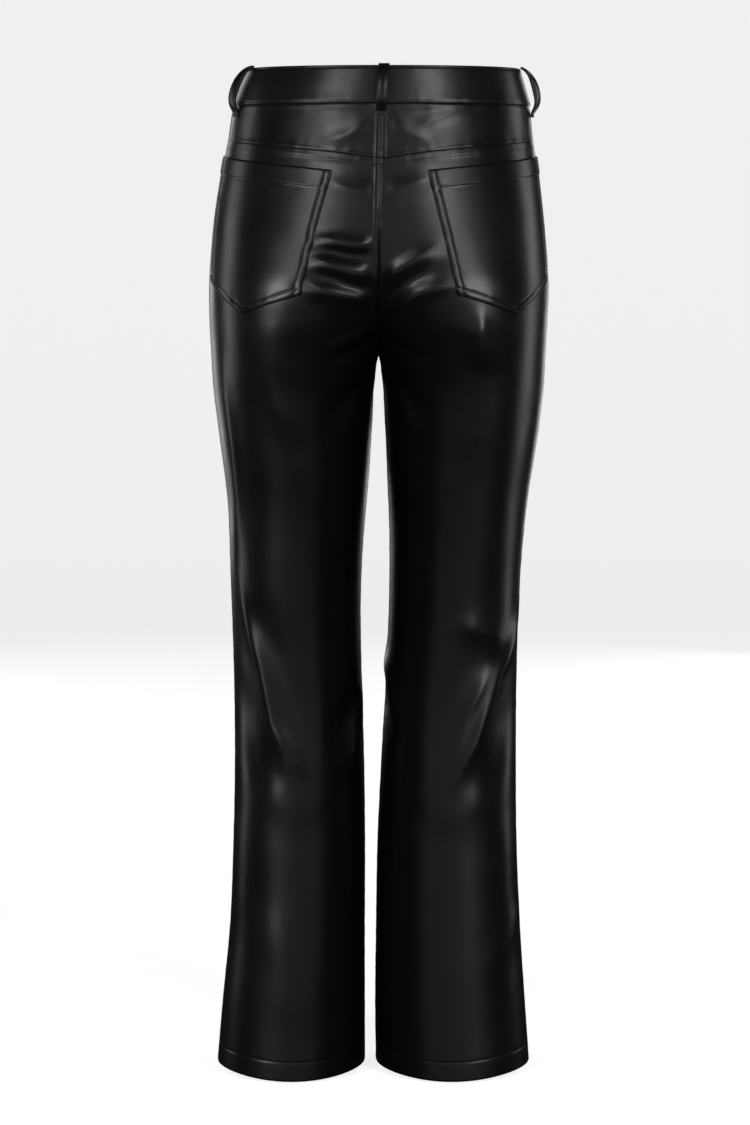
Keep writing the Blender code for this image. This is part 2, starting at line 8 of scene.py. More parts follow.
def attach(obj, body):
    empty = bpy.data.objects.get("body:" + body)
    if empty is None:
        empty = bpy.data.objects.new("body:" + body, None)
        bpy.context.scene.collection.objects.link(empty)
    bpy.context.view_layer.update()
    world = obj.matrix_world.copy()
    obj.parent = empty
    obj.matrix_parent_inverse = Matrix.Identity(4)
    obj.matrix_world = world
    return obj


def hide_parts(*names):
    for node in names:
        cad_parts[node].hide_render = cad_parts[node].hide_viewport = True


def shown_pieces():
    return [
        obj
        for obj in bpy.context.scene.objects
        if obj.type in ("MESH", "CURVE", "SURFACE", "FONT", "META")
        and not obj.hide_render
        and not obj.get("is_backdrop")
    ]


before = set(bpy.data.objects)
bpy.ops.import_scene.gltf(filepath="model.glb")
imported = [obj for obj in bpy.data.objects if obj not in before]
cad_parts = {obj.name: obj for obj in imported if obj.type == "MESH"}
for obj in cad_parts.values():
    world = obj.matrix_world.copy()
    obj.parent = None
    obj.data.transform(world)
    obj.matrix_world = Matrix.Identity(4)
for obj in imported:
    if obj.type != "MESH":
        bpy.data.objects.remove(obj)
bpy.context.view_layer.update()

mm = 0.001
print("frame loaded:", len(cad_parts), "solids")

# ---- the cut, in millimetres. turn runs round a leg: 0 front, 90 side, 180 back, -90 inside
cut = {
    "wall": 1.6,
    "sideTurn": 97,
    "yokeSide": -54,
    "yokeCentre": -73,
    "crotch": -270,
    "hem": -1007,
    "hemDip": 7,
    "hemTurn": 20,
    "waistTop": 19,
    "waistSeam": -19,
    "flatBlend": 1.4,
    "centreFade": 16,
}

# half width, depth to the front and back, sway, added to the right half width and taken off
# the left one, squareness
sectionNames = ("height", "outer", "front", "back", "sway", "uneven", "square")
sectionRows = (
    (25, 136, 96, 101, -4.0, 0, 2.15),
    (19, 137.5, 97, 102, -3.8, 0, 2.15),
    (0, 145, 102, 106, -2.4, 0, 2.18),
    (-19, 150.5, 106, 109, -1.4, 0, 2.20),
    (-54, 155.5, 110, 114, -0.4, 0, 2.25),
    (-90, 162, 112, 120, 0.3, 0, 2.30),
    (-128, 167.5, 113, 127, 1.1, 0, 2.35),
    (-165, 171, 112, 131, 1.2, 0, 2.35),
    (-200, 173, 110, 132, 1.2, 0, 2.35),
    (-235, 172.5, 108, 126, 1.6, 0, 2.30),
    (-270, 171, 105, 116, 1.6, 0, 2.25),
    (-300, 169.5, 102, 108, 1.6, 0, 2.20),
    (-350, 164, 97, 98, 1.5, 0, 2.15),
    (-420, 154.5, 89, 86, 2.6, 0, 2.12),
    (-500, 149.5, 81, 75, 4.8, 0, 2.12),
    (-600, 146.5, 74, 66, 5.7, 0.8, 2.12),
    (-690, 146, 70, 64, 6.2, 1.4, 2.12),
    (-780, 147.5, 69, 65, 7.2, 2.0, 2.12),
    (-860, 151, 69, 67, 7.6, 2.4, 2.10),
    (-945, 158, 70, 70, 8.5, 2.0, 2.08),
    (-1020, 164, 71, 73, 8.5, 1.4, 2.06),
)

# where a leg's tube ends towards the middle, and where the other leg keeps it flat
insideNames = ("height", "inner", "flat")
insideRows = (
    (25, -136, -200), (-19, -150.5, -200), (-54, -155.5, -200), (-90, -162, -200),
    (-128, -158, -200), (-165, -112, -160), (-200, -66, -110), (-225, -38, -62),
    (-245, -20, -26), (-258, -12, -9), (-270, -6, -0.8), (-276, -3.5, 1.2), (-290, 1.0, 2.7),
    (-340, 6.0, 4.2), (-400, 9.6, 4), (-460, 13.3, 4), (-525, 14.5, 4), (-600, 12.5, 4),
    (-690, 8.8, 3), (-780, 6.2, 1), (-860, 5.7, 0), (-945, 5.2, 0), (-1020, 5.6, 0),
)

# soft ridges, and troughs where the rise is negative, each along a path of turns and heights
foldNames = ("width", "rise", "path")
largeFolds = {
    "left": (
        (9, 4.3, ((122, -470), (136, -529), (149, -586), (159, -646), (178, -708), (188, -740))),
        (18, -3.2, ((150, -500), (168, -600), (188, -700))),
        (12, 3.5, ((262, -590), (246, -650), (220, -715))),
        (15, -3.0, ((238, -600), (214, -690))),
        (20, 1.4, ((136, -706), (170, -726), (208, -744))),
        (16, -2.5, ((122, -580), (138, -680), (150, -730))),
        (17, 2.4, ((160, -226), (172, -290), (180, -370))),
        (18, 2.0, ((126, -240), (132, -400), (126, -540))),
        (12, -3.5, ((228, -285), (196, -350))),
        (18, -3.0, ((22, -300), (46, -400))),
        (14, 3.5, ((58, -520), (20, -600))),
        (14, -3.0, ((40, -590), (-10, -660))),
        (15, 3.0, ((-30, -570), (6, -690))),
        (18, 2.5, ((12, -860), (-14, -960))),
        (20, 1.2, ((118, -730), (124, -880))),
        (20, 1.6, ((156, -820), (188, -980))),
    ),
    "right": (
        (9, 4.2, ((90, -490), (118, -560), (139, -595), (158, -664), (180, -716), (190, -748))),
        (18, -2.4, ((150, -520), (168, -600), (190, -705))),
        (12, 2.0, ((184, -534), (160, -550), (130, -562))),
        (12, 3.2, ((292, -566), (250, -600), (226, -660))),
        (15, -2.6, ((270, -600), (232, -680))),
        (20, 1.4, ((134, -712), (170, -734), (206, -750))),
        (16, -2.5, ((118, -600), (136, -690), (150, -730))),
        (17, 2.4, ((168, -222), (168, -290))),
        (20, 1.5, ((162, -215), (156, -330), (146, -520))),
        (12, -3.0, ((226, -285), (200, -340))),
        (18, -3.0, ((20, -300), (44, -410))),
        (14, 3.5, ((62, -530), (24, -640))),
        (14, -3.0, ((30, -620), (-20, -680))),
        (15, 3.0, ((-36, -560), (2, -660))),
        (20, 1.2, ((120, -730), (124, -880))),
        (13, 1.6, ((94, -822), (120, -864), (152, -908))),
        (18, 2.5, ((8, -850), (-16, -950))),
    ),
}
# smaller ones that only the cloth here has
fineFolds = {
    "left": (
        (7, 3.8, ((154, -150), (176, -157), (198, -160))),
        (5, -3.0, ((158, -160), (180, -168), (198, -174))),
        (7, 4.4, ((158, -168), (180, -181), (206, -196))),
        (6, -3.6, ((162, -182), (186, -194), (210, -208))),
        (7, 4.2, ((164, -196), (190, -208), (216, -218))),
        (6, -4.0, ((190, -278), (214, -262), (238, -238))),
        (6, 3.0, ((190, -266), (212, -246), (232, -228))),
        (6, 2.4, ((160, -640), (176, -672), (190, -706))),
        (8, 1.5, ((148, -60), (164, -50), (178, -32))),
        (9, 1.4, ((150, -92), (166, -104), (184, -108))),
        (8, 1.8, ((166, -280), (178, -350), (188, -440))),
        (8, 1.6, ((132, -250), (136, -360), (130, -480))),
    ),
    "right": (
        (6, 3.6, ((214, -206), (186, -178), (156, -152))),
        (6, -3.4, ((216, -222), (192, -196), (164, -172))),
        (6, 3.2, ((214, -232), (188, -206), (160, -190))),
        (8, 2.4, ((160, -216), (168, -244), (172, -280))),
        (7, 2.4, ((142, -575), (165, -631), (184, -710))),
        (8, 1.6, ((180, -32), (166, -48), (148, -62))),
        (8, 1.2, ((166, -44), (150, -34), (132, -18))),
        (9, 1.4, ((184, -108), (166, -100), (150, -88))),
        (6, -3.2, ((190, -276), (212, -260), (236, -238))),
    ),
}
foldLook = {"reach": 2.8, "taper": 0.38, "turnLength": 1.3, "narrow": 13, "narrowPower": 1.6, "power": 2.0}
legSides = {"left": 1, "right": -1}
folds = [dict(zip(foldNames, row), side=legSides[leg]) for table in (largeFolds, fineFolds)
         for leg, rows in table.items() for row in rows]


def unit(values):
    return values / np.linalg.norm(values, axis=-1, keepdims=True)


def ease(value):
    value = np.clip(value, 0.0, 1.0)
    return value * value * (3.0 - 2.0 * value)


def columnsOf(names, rows):
    data = np.array(sorted(rows), dtype=float)
    return {name: data[:, place] for place, name in enumerate(names)}


def readColumn(columns, name, height):
    rows, values = columns["height"], columns[name]
    slopes = np.gradient(values, rows)
    height = np.clip(height, rows[0], rows[-1])
    low = np.clip(np.searchsorted(rows, height) - 1, 0, len(rows) - 2)
    step = rows[low + 1] - rows[low]
    t = (height - rows[low]) / step
    rise = values[low + 1] - values[low]
    start, end = slopes[low] * step, slopes[low + 1] * step
    return values[low] + t * (start + t * (rise - start + (t - 1) * (start - 2 * rise + end)))


sections = columnsOf(sectionNames, sectionRows)
insides = columnsOf(insideNames, insideRows)


def legSection(side, height):
    outer = readColumn(sections, "outer", height)
    inner = np.maximum(readColumn(insides, "inner", height), -outer)
    front = readColumn(sections, "front", height)
    back = readColumn(sections, "back", height)
    half = (outer - inner) / 2 - side * readColumn(sections, "uneven", height)
    square = readColumn(sections, "square", height)
    sway = readColumn(sections, "sway", height)
    return (outer + inner) / 2, (back - front) / 2, half, (front + back) / 2, sway, square


# how far the folds lift the cloth at points that are reach millimetres from the leg's middle
def foldRise(side, turn, height, reach):
    look = foldLook
    shape = np.broadcast(side, turn, height, reach).shape
    spread = np.broadcast_arrays(side, turn, height, reach)
    side, turn, height, reach = [part.reshape(-1) for part in spread]
    total = np.zeros(turn.shape)
    lowest, highest = height.min(), height.max()
    for fold in folds:
        margin = look["reach"] * fold["width"]
        levels = [level for _, level in fold["path"]]
        bottom, top = min(levels) - margin, max(levels) + margin
        if bottom > highest or top < lowest:
            continue
        near = np.nonzero((side == fold["side"]) & (height > bottom) & (height < top))
        if near[0].size == 0:
            continue
        far, level, angle = reach[near], height[near], turn[near]
        legs = list(zip(fold["path"], fold["path"][1:]))
        runs = [math.hypot((b[0] - a[0]) * look["turnLength"], b[1] - a[1]) for a, b in legs]
        power = look["narrowPower"] if fold["width"] < look["narrow"] else look["power"]
        for wrap in (0, -360):
            nearest = np.full(level.shape, 1e9)
            share = np.zeros(level.shape)
            done = 0.0
            for (first, last), run in zip(legs, runs):
                along = np.radians(last[0] - first[0]) * far
                drop = last[1] - first[1]
                across = np.radians(angle - first[0] - wrap) * far
                down = level - first[1]
                t = np.clip((across * along + down * drop) / (along ** 2 + drop ** 2), 0.0, 1.0)
                away = np.hypot(across - t * along, down - t * drop)
                share = np.where(away < nearest, (done + t * run) / sum(runs), share)
                nearest = np.minimum(nearest, away)
                done += run
            swell = ease(np.minimum(share, 1.0 - share) / look["taper"])
            total[near] += fold["rise"] * swell * np.exp(-(nearest / fold["width"]) ** power)
    return total.reshape(shape)


def spot(side, turn, height):
    centreX, centreY, half, depth, sway, square = legSection(side, height)
    angle = np.radians(turn)
    reach = ((np.abs(np.sin(angle)) / half) ** square
             + (np.abs(np.cos(angle)) / depth) ** square) ** (-1.0 / square)
    fromSeam = np.abs(centreX + reach * np.sin(angle))
    high = ease((height - cut["crotch"]) / 20)
    keep = 1.0 - high * (1.0 - ease(fromSeam / cut["centreFade"]))
    reach = reach + keep * foldRise(side, turn, height, reach)
    flat = readColumn(insides, "flat", height)
    blend = cut["flatBlend"]
    out = (centreX + reach * np.sin(angle) - flat) / blend
    x = flat + blend * (np.maximum(out, 0) + np.log1p(np.exp(-np.abs(out))))
    y = centreY - reach * np.cos(angle)
    return np.stack(np.broadcast_arrays(side * x + sway, y, height), axis=-1)


# points in metres on the cloth, moved off it along its normal by a lift in millimetres
def onCloth(side, turn, height, lift=0.0):
    side, turn, height, lift = np.broadcast_arrays(side, turn, height, lift)
    roundWay = spot(side, turn + 0.4, height) - spot(side, turn - 0.4, height)
    upWay = spot(side, turn, height + 1.2) - spot(side, turn, height - 1.2)
    normal = unit(np.cross(roundWay, upWay) * side[..., None])
    return (spot(side, turn, height) + normal * lift[..., None]) * mm, normal


def bisectTurn(side, height, distance, back):
    side, height, distance = np.broadcast_arrays(side, np.asarray(height, dtype=float), distance)
    inside = np.full(height.shape, -90.0)
    beyond = np.full(height.shape, 60.0)
    sway = readColumn(sections, "sway", height)

    def fromSeam(turn):
        return (spot(side, 180.0 - turn if back else turn, height)[..., 0] - sway) * side - distance

    openLeg = fromSeam(inside) > 0
    for _ in range(34):  # halved until it is far finer than the cloth needs
        middle = (inside + beyond) / 2
        past = fromSeam(middle) > 0
        beyond = np.where(past, middle, beyond)
        inside = np.where(past, inside, middle)
    turn = np.where(openLeg, -90.0, (inside + beyond) / 2)
    return 180.0 - turn if back else turn


seamLevels = np.arange(-1024.0, 27.0, 1.0)
seamTurns = {}


# turn at a distance from the centre seam above the crotch, or from the inside leg seam below it
def seamTurn(side, height, distance, back):
    key = (side, round(float(distance), 3), back)
    if key not in seamTurns:
        seamTurns[key] = bisectTurn(side, seamLevels, distance, back)
    return np.interp(height, seamLevels, seamTurns[key])


# columns from the side seam to the inner one; near the crotch, where the inner seam jumps, only
# those close to it follow
def spreadTurns(side, height, share, back):
    start = cut["sideTurn"]
    end = seamTurn(side, height, 0.0, back)
    table = seamTurns[(side, 0.0, back)]
    window = np.hanning(91)
    padded = np.concatenate([np.full(45, table[0]), table, np.full(45, table[-1])])
    calm = np.interp(height, seamLevels, np.convolve(padded, window / window.sum(), "valid"))
    return start + (calm - start) * share + (end - calm) * ease((share - 0.5) / 0.5)


def yokeSeam(share):
    return cut["yokeSide"] + (cut["yokeCentre"] - cut["yokeSide"]) * share ** 1.25


# ---- helpers for the sheets
def stopsAlong(length, step, marks):
    stops = {0.0, float(length)}
    for mark in marks:
        for offset in (-2.4, -1.4, -0.7, 0.0, 0.7, 1.4, 2.4):
            if 0 < mark + offset < length:
                stops.add(mark + offset)
    stops = sorted(stops)
    full = [0.0]
    for near, far in zip(stops, stops[1:]):
        cells = max(1, math.ceil((far - near) / step))
        full += [near + (far - near) * (cell + 1) / cells for cell in range(cells)]
    return np.array(full)


# lifts in millimetres: a narrow valley, a step that runs out past its start, uneven puckers
def dip(distance, width, depth):
    return -depth * np.exp(-(distance / width) ** 2)


def raised(rise, away, start, run):
    return rise * (1 - ease((away - start) / run))


# slow uneven ripple between -1 and 1 along a seam
def ripple(along, seed, wave):
    total = 0.0
    for part in range(4):
        phase = math.sin(seed * 12.9898 + part * 78.233) * 43.7
        total = total + np.sin(along * 2 * math.pi / (wave * (1 + 0.47 * part)) + phase)
    return total / 4


def puckers(rise, along, seed, wave, away, reach):
    return rise * ripple(along, seed, wave) * np.exp(-(away / reach) ** 2)


def lengthsAlong(points, axis):
    steps = np.linalg.norm(np.diff(points, axis=axis), axis=-1)
    start = np.zeros_like(np.take(steps, [0], axis=axis))
    return np.concatenate([start, np.cumsum(steps, axis=axis)], axis=axis)


# distances from the first and last columns of a grid, and from its first and last rows
def edgeDistances(base):
    across, down = lengthsAlong(base, 1), lengthsAlong(base, 0)
    return across, across[:, -1:] - across, down, down[-1:] - down


def nothingSelected():
    if bpy.context.object and bpy.context.object.mode != "OBJECT":
        bpy.ops.object.mode_set(mode="OBJECT")
    bpy.ops.object.select_all(action="DESELECT")


def only(piece):
    nothingSelected()
    piece.select_set(True)
    bpy.context.view_layer.objects.active = piece


def editAll():
    bpy.ops.object.mode_set(mode="EDIT")
    bpy.ops.mesh.select_all(action="SELECT")


def applyAll(piece):
    only(piece)
    for modifier in list(piece.modifiers):
        bpy.ops.object.modifier_apply(modifier=modifier.name)


def smooth(piece, degrees):
    only(piece)
    bpy.ops.object.shade_smooth_by_angle(angle=math.radians(degrees))


def takeMesh(piece):
    points = np.array([vertex.co[:] for vertex in piece.data.vertices])
    faces = [list(face.vertices) for face in piece.data.polygons]
    bpy.data.objects.remove(piece)
    return points, faces


def giveMesh(name, points, faces):
    mesh = bpy.data.meshes.new(name)
    mesh.from_pydata(points, [], faces)
    piece = bpy.data.objects.new(name, mesh)
    bpy.context.collection.objects.link(piece)
    return piece


# a grid laid on points; the first row is the highest, and columns run towards the back
def layGrid(name, points, side=1):
    points = points[::-1]
    if side < 0:
        points = points[:, ::-1]
    rows, columns = points.shape[:2]
    nothingSelected()
    bpy.ops.mesh.primitive_grid_add(x_subdivisions=columns - 1, y_subdivisions=rows - 1, size=1)
    piece = bpy.context.object
    piece.name = piece.data.name = name
    piece.data.vertices.foreach_set("co", np.ascontiguousarray(points).reshape(-1))
    across = lengthsAlong(points, 1)
    up = lengthsAlong(points, 0)
    flat = np.stack([across - across[:, -1:] / 2, up], axis=-1).reshape(-1, 2)
    corners = np.empty(len(piece.data.loops), dtype=np.int32)
    piece.data.loops.foreach_get("vertex_index", corners)
    piece.data.uv_layers.active.data.foreach_set("uv", flat[corners].reshape(-1))
    piece.data.update()
    return piece


# wall of the cloth, inwards; shares, where given, are each point's part of the thickness
def giveWall(piece, thickness, shares=None):
    wall = piece.modifiers.new("wall", "SOLIDIFY")
    wall.thickness = thickness * mm
    wall.offset = -1
    wall.material_offset = 1
    wall.material_offset_rim = 0
    if shares is not None:
        group = piece.vertex_groups.new(name="wall")
        for share in np.unique(shares):
            group.add(np.nonzero(shares == share)[0].tolist(), float(share), "REPLACE")
        wall.vertex_group = "wall"
    applyAll(piece)
    if shares is not None:
        piece.vertex_groups.clear()


def dress(piece, node, materials, degrees=50):
    smooth(piece, degrees)
    piece.data.materials.clear()
    for material in materials:
        piece.data.materials.append(material)
    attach(piece, "root")
    if node:
        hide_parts(node)


def dressCloth(piece, node):
    dress(piece, node, [leather, backing])


def dressMetal(piece, node, degrees):
    dress(piece, node, [metal], degrees)


# ---- materials
def newMaterial(name, color, roughness, metallic=0.0):
    material = bpy.data.materials.new(name)
    material.use_nodes = True
    tree = material.node_tree
    shader = tree.nodes["Principled BSDF"]
    shader.inputs["Base Color"].default_value = (*color, 1)
    shader.inputs["Roughness"].default_value = roughness
    shader.inputs["Metallic"].default_value = metallic
    return material, shader, tree


def coordsNode(tree, output="Object"):
    return tree.nodes.new("ShaderNodeTexCoord").outputs[output]


def noiseNode(tree, coords, scale, detail=3, roughness=0.5):
    noise = tree.nodes.new("ShaderNodeTexNoise")
    noise.inputs["Scale"].default_value = scale
    noise.inputs["Detail"].default_value = detail
    noise.inputs["Roughness"].default_value = roughness
    tree.links.new(coords, noise.inputs["Vector"])
    return noise.outputs["Fac"]


def waveNode(tree, coords, scale, distortion, direction="X"):
    wave = tree.nodes.new("ShaderNodeTexWave")
    wave.bands_direction = direction
    wave.inputs["Scale"].default_value = scale
    wave.inputs["Distortion"].default_value = distortion
    tree.links.new(coords, wave.inputs["Vector"])
    return wave.outputs["Fac"]


def roughened(tree, shader, value, fromLow, fromHigh, low, high):
    rangeNode = tree.nodes.new("ShaderNodeMapRange")
    limits = (("From Min", fromLow), ("From Max", fromHigh), ("To Min", low), ("To Max", high))
    for name, number in limits:
        rangeNode.inputs[name].default_value = number
    tree.links.new(value, rangeNode.inputs["Value"])
    tree.links.new(rangeNode.outputs["Result"], shader.inputs["Roughness"])


def tinted(tree, shader, value, dark, light):
    tint = tree.nodes.new("ShaderNodeMix")
    tint.data_type = "RGBA"
    tint.inputs["A"].default_value = (*dark, 1)
    tint.inputs["B"].default_value = (*light, 1)
    tree.links.new(value, tint.inputs["Factor"])
    tree.links.new(tint.outputs["Result"], shader.inputs["Base Color"])


# bumps laid over one another: height, strength and distance of each, the broadest first
def bumped(tree, shader, *layers):
    below = None
    for height, strength, distance in layers:
        bump = tree.nodes.new("ShaderNodeBump")
        bump.inputs["Strength"].default_value = strength
        bump.inputs["Distance"].default_value = distance
        tree.links.new(height, bump.inputs["Height"])
        if below:
            tree.links.new(below, bump.inputs["Normal"])
        below = bump.outputs["Normal"]
    tree.links.new(below, shader.inputs["Normal"])


leatherLook = {
    "color": (0.0062, 0.0062, 0.0066), "roughLow": 0.27, "roughHigh": 0.34,
    "grainScale": 950, "grainDepth": 0.00003,
    "fineScale": 420, "fineDepth": 0.00005,
    "softScale": 26, "softDepth": 0.0010,
}


def makeLeather():
    look = leatherLook
    material, shader, tree = newMaterial("fauxLeather", look["color"], 0.4)
    coords = coordsNode(tree)
    patches = noiseNode(tree, coords, 18, 4, 0.6)
    roughened(tree, shader, patches, 0.3, 0.7, look["roughLow"], look["roughHigh"])
    tinted(tree, shader, noiseNode(tree, coords, 60, 5, 0.6),
           [value * 0.8 for value in look["color"]], [value * 1.35 for value in look["color"]])
    pebbles = tree.nodes.new("ShaderNodeTexVoronoi")
    pebbles.inputs["Scale"].default_value = look["grainScale"]
    tree.links.new(coords, pebbles.inputs["Vector"])
    bumped(tree, shader,
           (noiseNode(tree, coords, look["softScale"], 2, 0.4), 0.35, look["softDepth"]),
           (noiseNode(tree, coords, look["fineScale"], 3, 0.5), 0.3, look["fineDepth"]),
           (pebbles.outputs["Distance"], 0.5, look["grainDepth"]))
    return material


def makeBacking():
    material, shader, tree = newMaterial("knitBacking", (0.018, 0.018, 0.019), 0.92)
    coords = coordsNode(tree, "UV")
    knit = waveNode(tree, coords, 420, 1.5)
    fuzz = noiseNode(tree, coords, 900, 4, 0.7)
    tinted(tree, shader, fuzz, (0.010, 0.010, 0.011), (0.030, 0.030, 0.032))
    bumped(tree, shader, (knit, 0.5, 0.0003), (fuzz, 0.4, 0.0003))
    shader.inputs["Sheen Weight"].default_value = 0.25
    shader.inputs["Sheen Roughness"].default_value = 0.5
    return material


def makeThread():
    material, shader, tree = newMaterial("thread", (0.014, 0.014, 0.015), 0.5)
    ply = noiseNode(tree, coordsNode(tree), 2600, 2)
    roughened(tree, shader, ply, 0.3, 0.7, 0.42, 0.62)
    bumped(tree, shader, (ply, 0.6, 0.0002))
    return material


def makeTape():
    material, shader, tree = newMaterial("wovenTape", (0.010, 0.010, 0.010), 0.88)
    twill = waveNode(tree, coordsNode(tree, "UV"), 380, 0.6, "DIAGONAL")
    tinted(tree, shader, twill, (0.006, 0.006, 0.006), (0.020, 0.020, 0.021))
    bumped(tree, shader, (twill, 0.6, 0.0003))
    return material


def makeMetal():
    material, shader, tree = newMaterial("gunmetal", (0.10, 0.10, 0.105), 0.32, 1.0)
    coords = coordsNode(tree)
    wear = noiseNode(tree, coords, 520, 5, 0.65)
    roughened(tree, shader, wear, 0.3, 0.75, 0.24, 0.42)
    tinted(tree, shader, wear, (0.055, 0.055, 0.058), (0.15, 0.15, 0.155))
    bumped(tree, shader, (noiseNode(tree, coords, 2400, 3), 0.2, 0.00005))
    return material


leather, backing, thread, tape, metal = makeLeather(), makeBacking(), makeThread(), makeTape(), makeMetal()
print("materials ready")


# ---- stitches: one capsule, laid again and again along each sewn line
stitchSize = {"length": 2.5, "pitch": 3.3, "wide": 0.62, "high": 0.5}
stitchRuns = {}


def modelStitch():
    nothingSelected()
    bpy.ops.mesh.primitive_uv_sphere_add(segments=6, ring_count=5, radius=1)
    stitch = bpy.context.object
    editAll()
    bpy.ops.transform.rotate(value=math.pi / 2, orient_axis="Y", center_override=(0, 0, 0))
    bpy.ops.transform.resize(value=(stitchSize["length"] / 2 * mm, stitchSize["wide"] / 2 * mm,
                                    stitchSize["high"] / 2 * mm))
    bpy.ops.object.mode_set(mode="OBJECT")
    return takeMesh(stitch)


stitchPoints, stitchFaces = modelStitch()


# keeps a sewn line: points on the cloth in metres and the cloth's normals there
def sew(run, points, normals, pitch=None):
    lengths = lengthsAlong(points, 0)
    pitch = (pitch or stitchSize["pitch"]) * mm
    count = int(lengths[-1] / pitch)
    if count < 1:
        return
    middles = (np.arange(count) + 0.5) * lengths[-1] / count

    def along(values, places):
        return np.stack([np.interp(places, lengths, values[:, axis]) for axis in range(3)], axis=-1)

    centre, up = along(points, middles), along(normals, middles)
    way = unit(along(points, middles + 0.4 * mm) - along(points, middles - 0.4 * mm))
    up = unit(up - way * np.sum(way * up, axis=-1, keepdims=True))
    across = np.cross(up, way)
    laid = (centre[:, None] + stitchPoints[None, :, :1] * way[:, None]
            + stitchPoints[None, :, 1:2] * across[:, None] + stitchPoints[None, :, 2:] * up[:, None])
    stitchRuns.setdefault(run, []).append(laid)


def sewOn(run, side, turn, height, lift):
    sew(run, *onCloth(side, turn, height, lift))


# sews over some rows and columns of a piece's grid, a little above them
def sewGrid(run, points, normals, rows, columns, above=0.15):
    sew(run, points[rows, columns] + normals[rows, columns] * above * mm, normals[rows, columns])


def makeStitches():
    for run, parts in stitchRuns.items():
        laid = np.concatenate(parts)
        count, each = laid.shape[:2]
        faces = [[corner + start * each for corner in face] for start in range(count) for face in stitchFaces]
        piece = giveMesh("stitches_" + run, laid.reshape(-1, 3).tolist(), faces)
        dress(piece, None, [thread], 80)


# ---- leg panels
panelLook = {
    "rowStep": 3.3, "columnStep": 3.4, "backWidth": 255, "frontWidth": 250, "yokeRowStep": 3.0,
    "seamDip": 0.55, "markAway": 6.5, "yokeStitch": 7.0, "centreStitch": 6.0, "edgeStitch": 1.6,
    "settle": 110, "sagTop": -880, "sagRun": 130,
}
fly = {"lap": 10, "step": 2.6, "rampStart": 10, "rampEnd": 30, "lapLow": -165, "lapEnd": -190,
       "full": -197, "flat": -232, "stitchTop": -22, "stitchAways": (24.0, 30.0), "bendTop": -140,
       "bendDeeper": 22, "edgeColumn": 3}


# 1 where a seam's valley can't open a gap, 0 above the crotch where the cloth faces the other leg
def facingOut(side, turn, height):
    normal = onCloth(side, turn, height)[1]
    return np.where(height > cut["crotch"] - 4, ease(np.abs(normal[..., 1]) * 1.5 - 0.5), 1.0)


def hemLift(fromHem, along, seed):
    away = fromHem - cut["hemTurn"]
    return dip(away, 0.9, 0.35) + dip(fromHem, 0.9, 0.5) + puckers(0.18, along, seed, 14, away, 8)


# a leg panel with the double wall of its turned-up hem, sewn along the turn-up's edge
def hemmedPanel(node, side, points, normals, fromHem, picked):
    piece = layGrid(node + "_cloth", points, side)
    shares = np.where(fromHem < cut["hemTurn"], 1.0, 0.5)[::-1]
    giveWall(piece, 2 * cut["wall"], (shares if side > 0 else shares[:, ::-1]).reshape(-1))
    dressCloth(piece, node)
    sewGrid(node, points, normals, np.argmin(np.abs(fromHem[:, 0] - cut["hemTurn"])), picked)
    return piece


def makeBack(word, side):
    look = panelLook
    node, width, length = "back_" + word, look["backWidth"], cut["yokeSide"] - cut["hem"]
    marks = (0, look["yokeStitch"], length - cut["hemTurn"], length - 2)
    rows = cut["yokeSide"] - stopsAlong(length, look["rowStep"], marks)
    columns = stopsAlong(width, look["columnStep"], (0, width - look["markAway"], width))
    share = (columns / width)[None, :]
    drop = yokeSeam(share) - cut["yokeSide"]
    settle = 1.0 - ease((cut["yokeSide"] - rows) / look["settle"])[:, None]
    low = ease((look["sagTop"] - rows) / look["sagRun"])[:, None]
    sag = low * cut["hemDip"] * np.sin(math.pi * share) ** 2
    height = rows[:, None] + drop * settle - sag
    turn = spreadTurns(side, height, share, True)
    fromSide, fromCentre, fromYoke, fromHem = edgeDistances(spot(side, turn, height))
    lift = dip(fromSide, 0.9, look["seamDip"]) + dip(fromYoke, 0.6, 0.25)
    lift += dip(fromCentre, 1.0, look["seamDip"]) * facingOut(side, turn, height)
    # seam allowance under the cloth beside the seams that are sewn twice
    lift += raised(0.45, fromYoke, 7.2, 2.0) + dip(fromYoke - look["yokeStitch"], 0.7, 0.3)
    if side > 0:
        high = ease((height - cut["crotch"]) / 30)
        lift += high * (raised(0.3, fromCentre, 6.2, 2.0) + dip(fromCentre - look["centreStitch"], 0.7, 0.28))
    lift += puckers(0.22, fromSide, side + 3, 11, fromYoke, 12)
    lift += puckers(0.30, fromYoke, side + 7, 13, fromCentre, 9)
    lift += puckers(0.22, fromYoke, side + 11, 15, fromSide, 7)
    lift += hemLift(fromHem, fromSide, side + 17)
    points, normals = onCloth(side, turn, height, lift)
    picked = np.unique((np.linspace(0.012, 0.988, 160) * (len(columns) - 1)).round().astype(int))
    piece = hemmedPanel(node, side, points, normals, fromHem, picked)
    sewGrid(node, points, normals, np.argmin(np.abs(fromYoke[:, 0] - look["yokeStitch"])), picked)
    levels = np.arange(-76.0, cut["crotch"] + 10, -2.0)
    if side > 0:
        sewOn(node, side, seamTurn(side, levels, look["centreStitch"], True), levels, 0.25)
    sewOn(node, side, seamTurn(side, levels, look["edgeStitch"], True), levels, -0.02)
    return piece


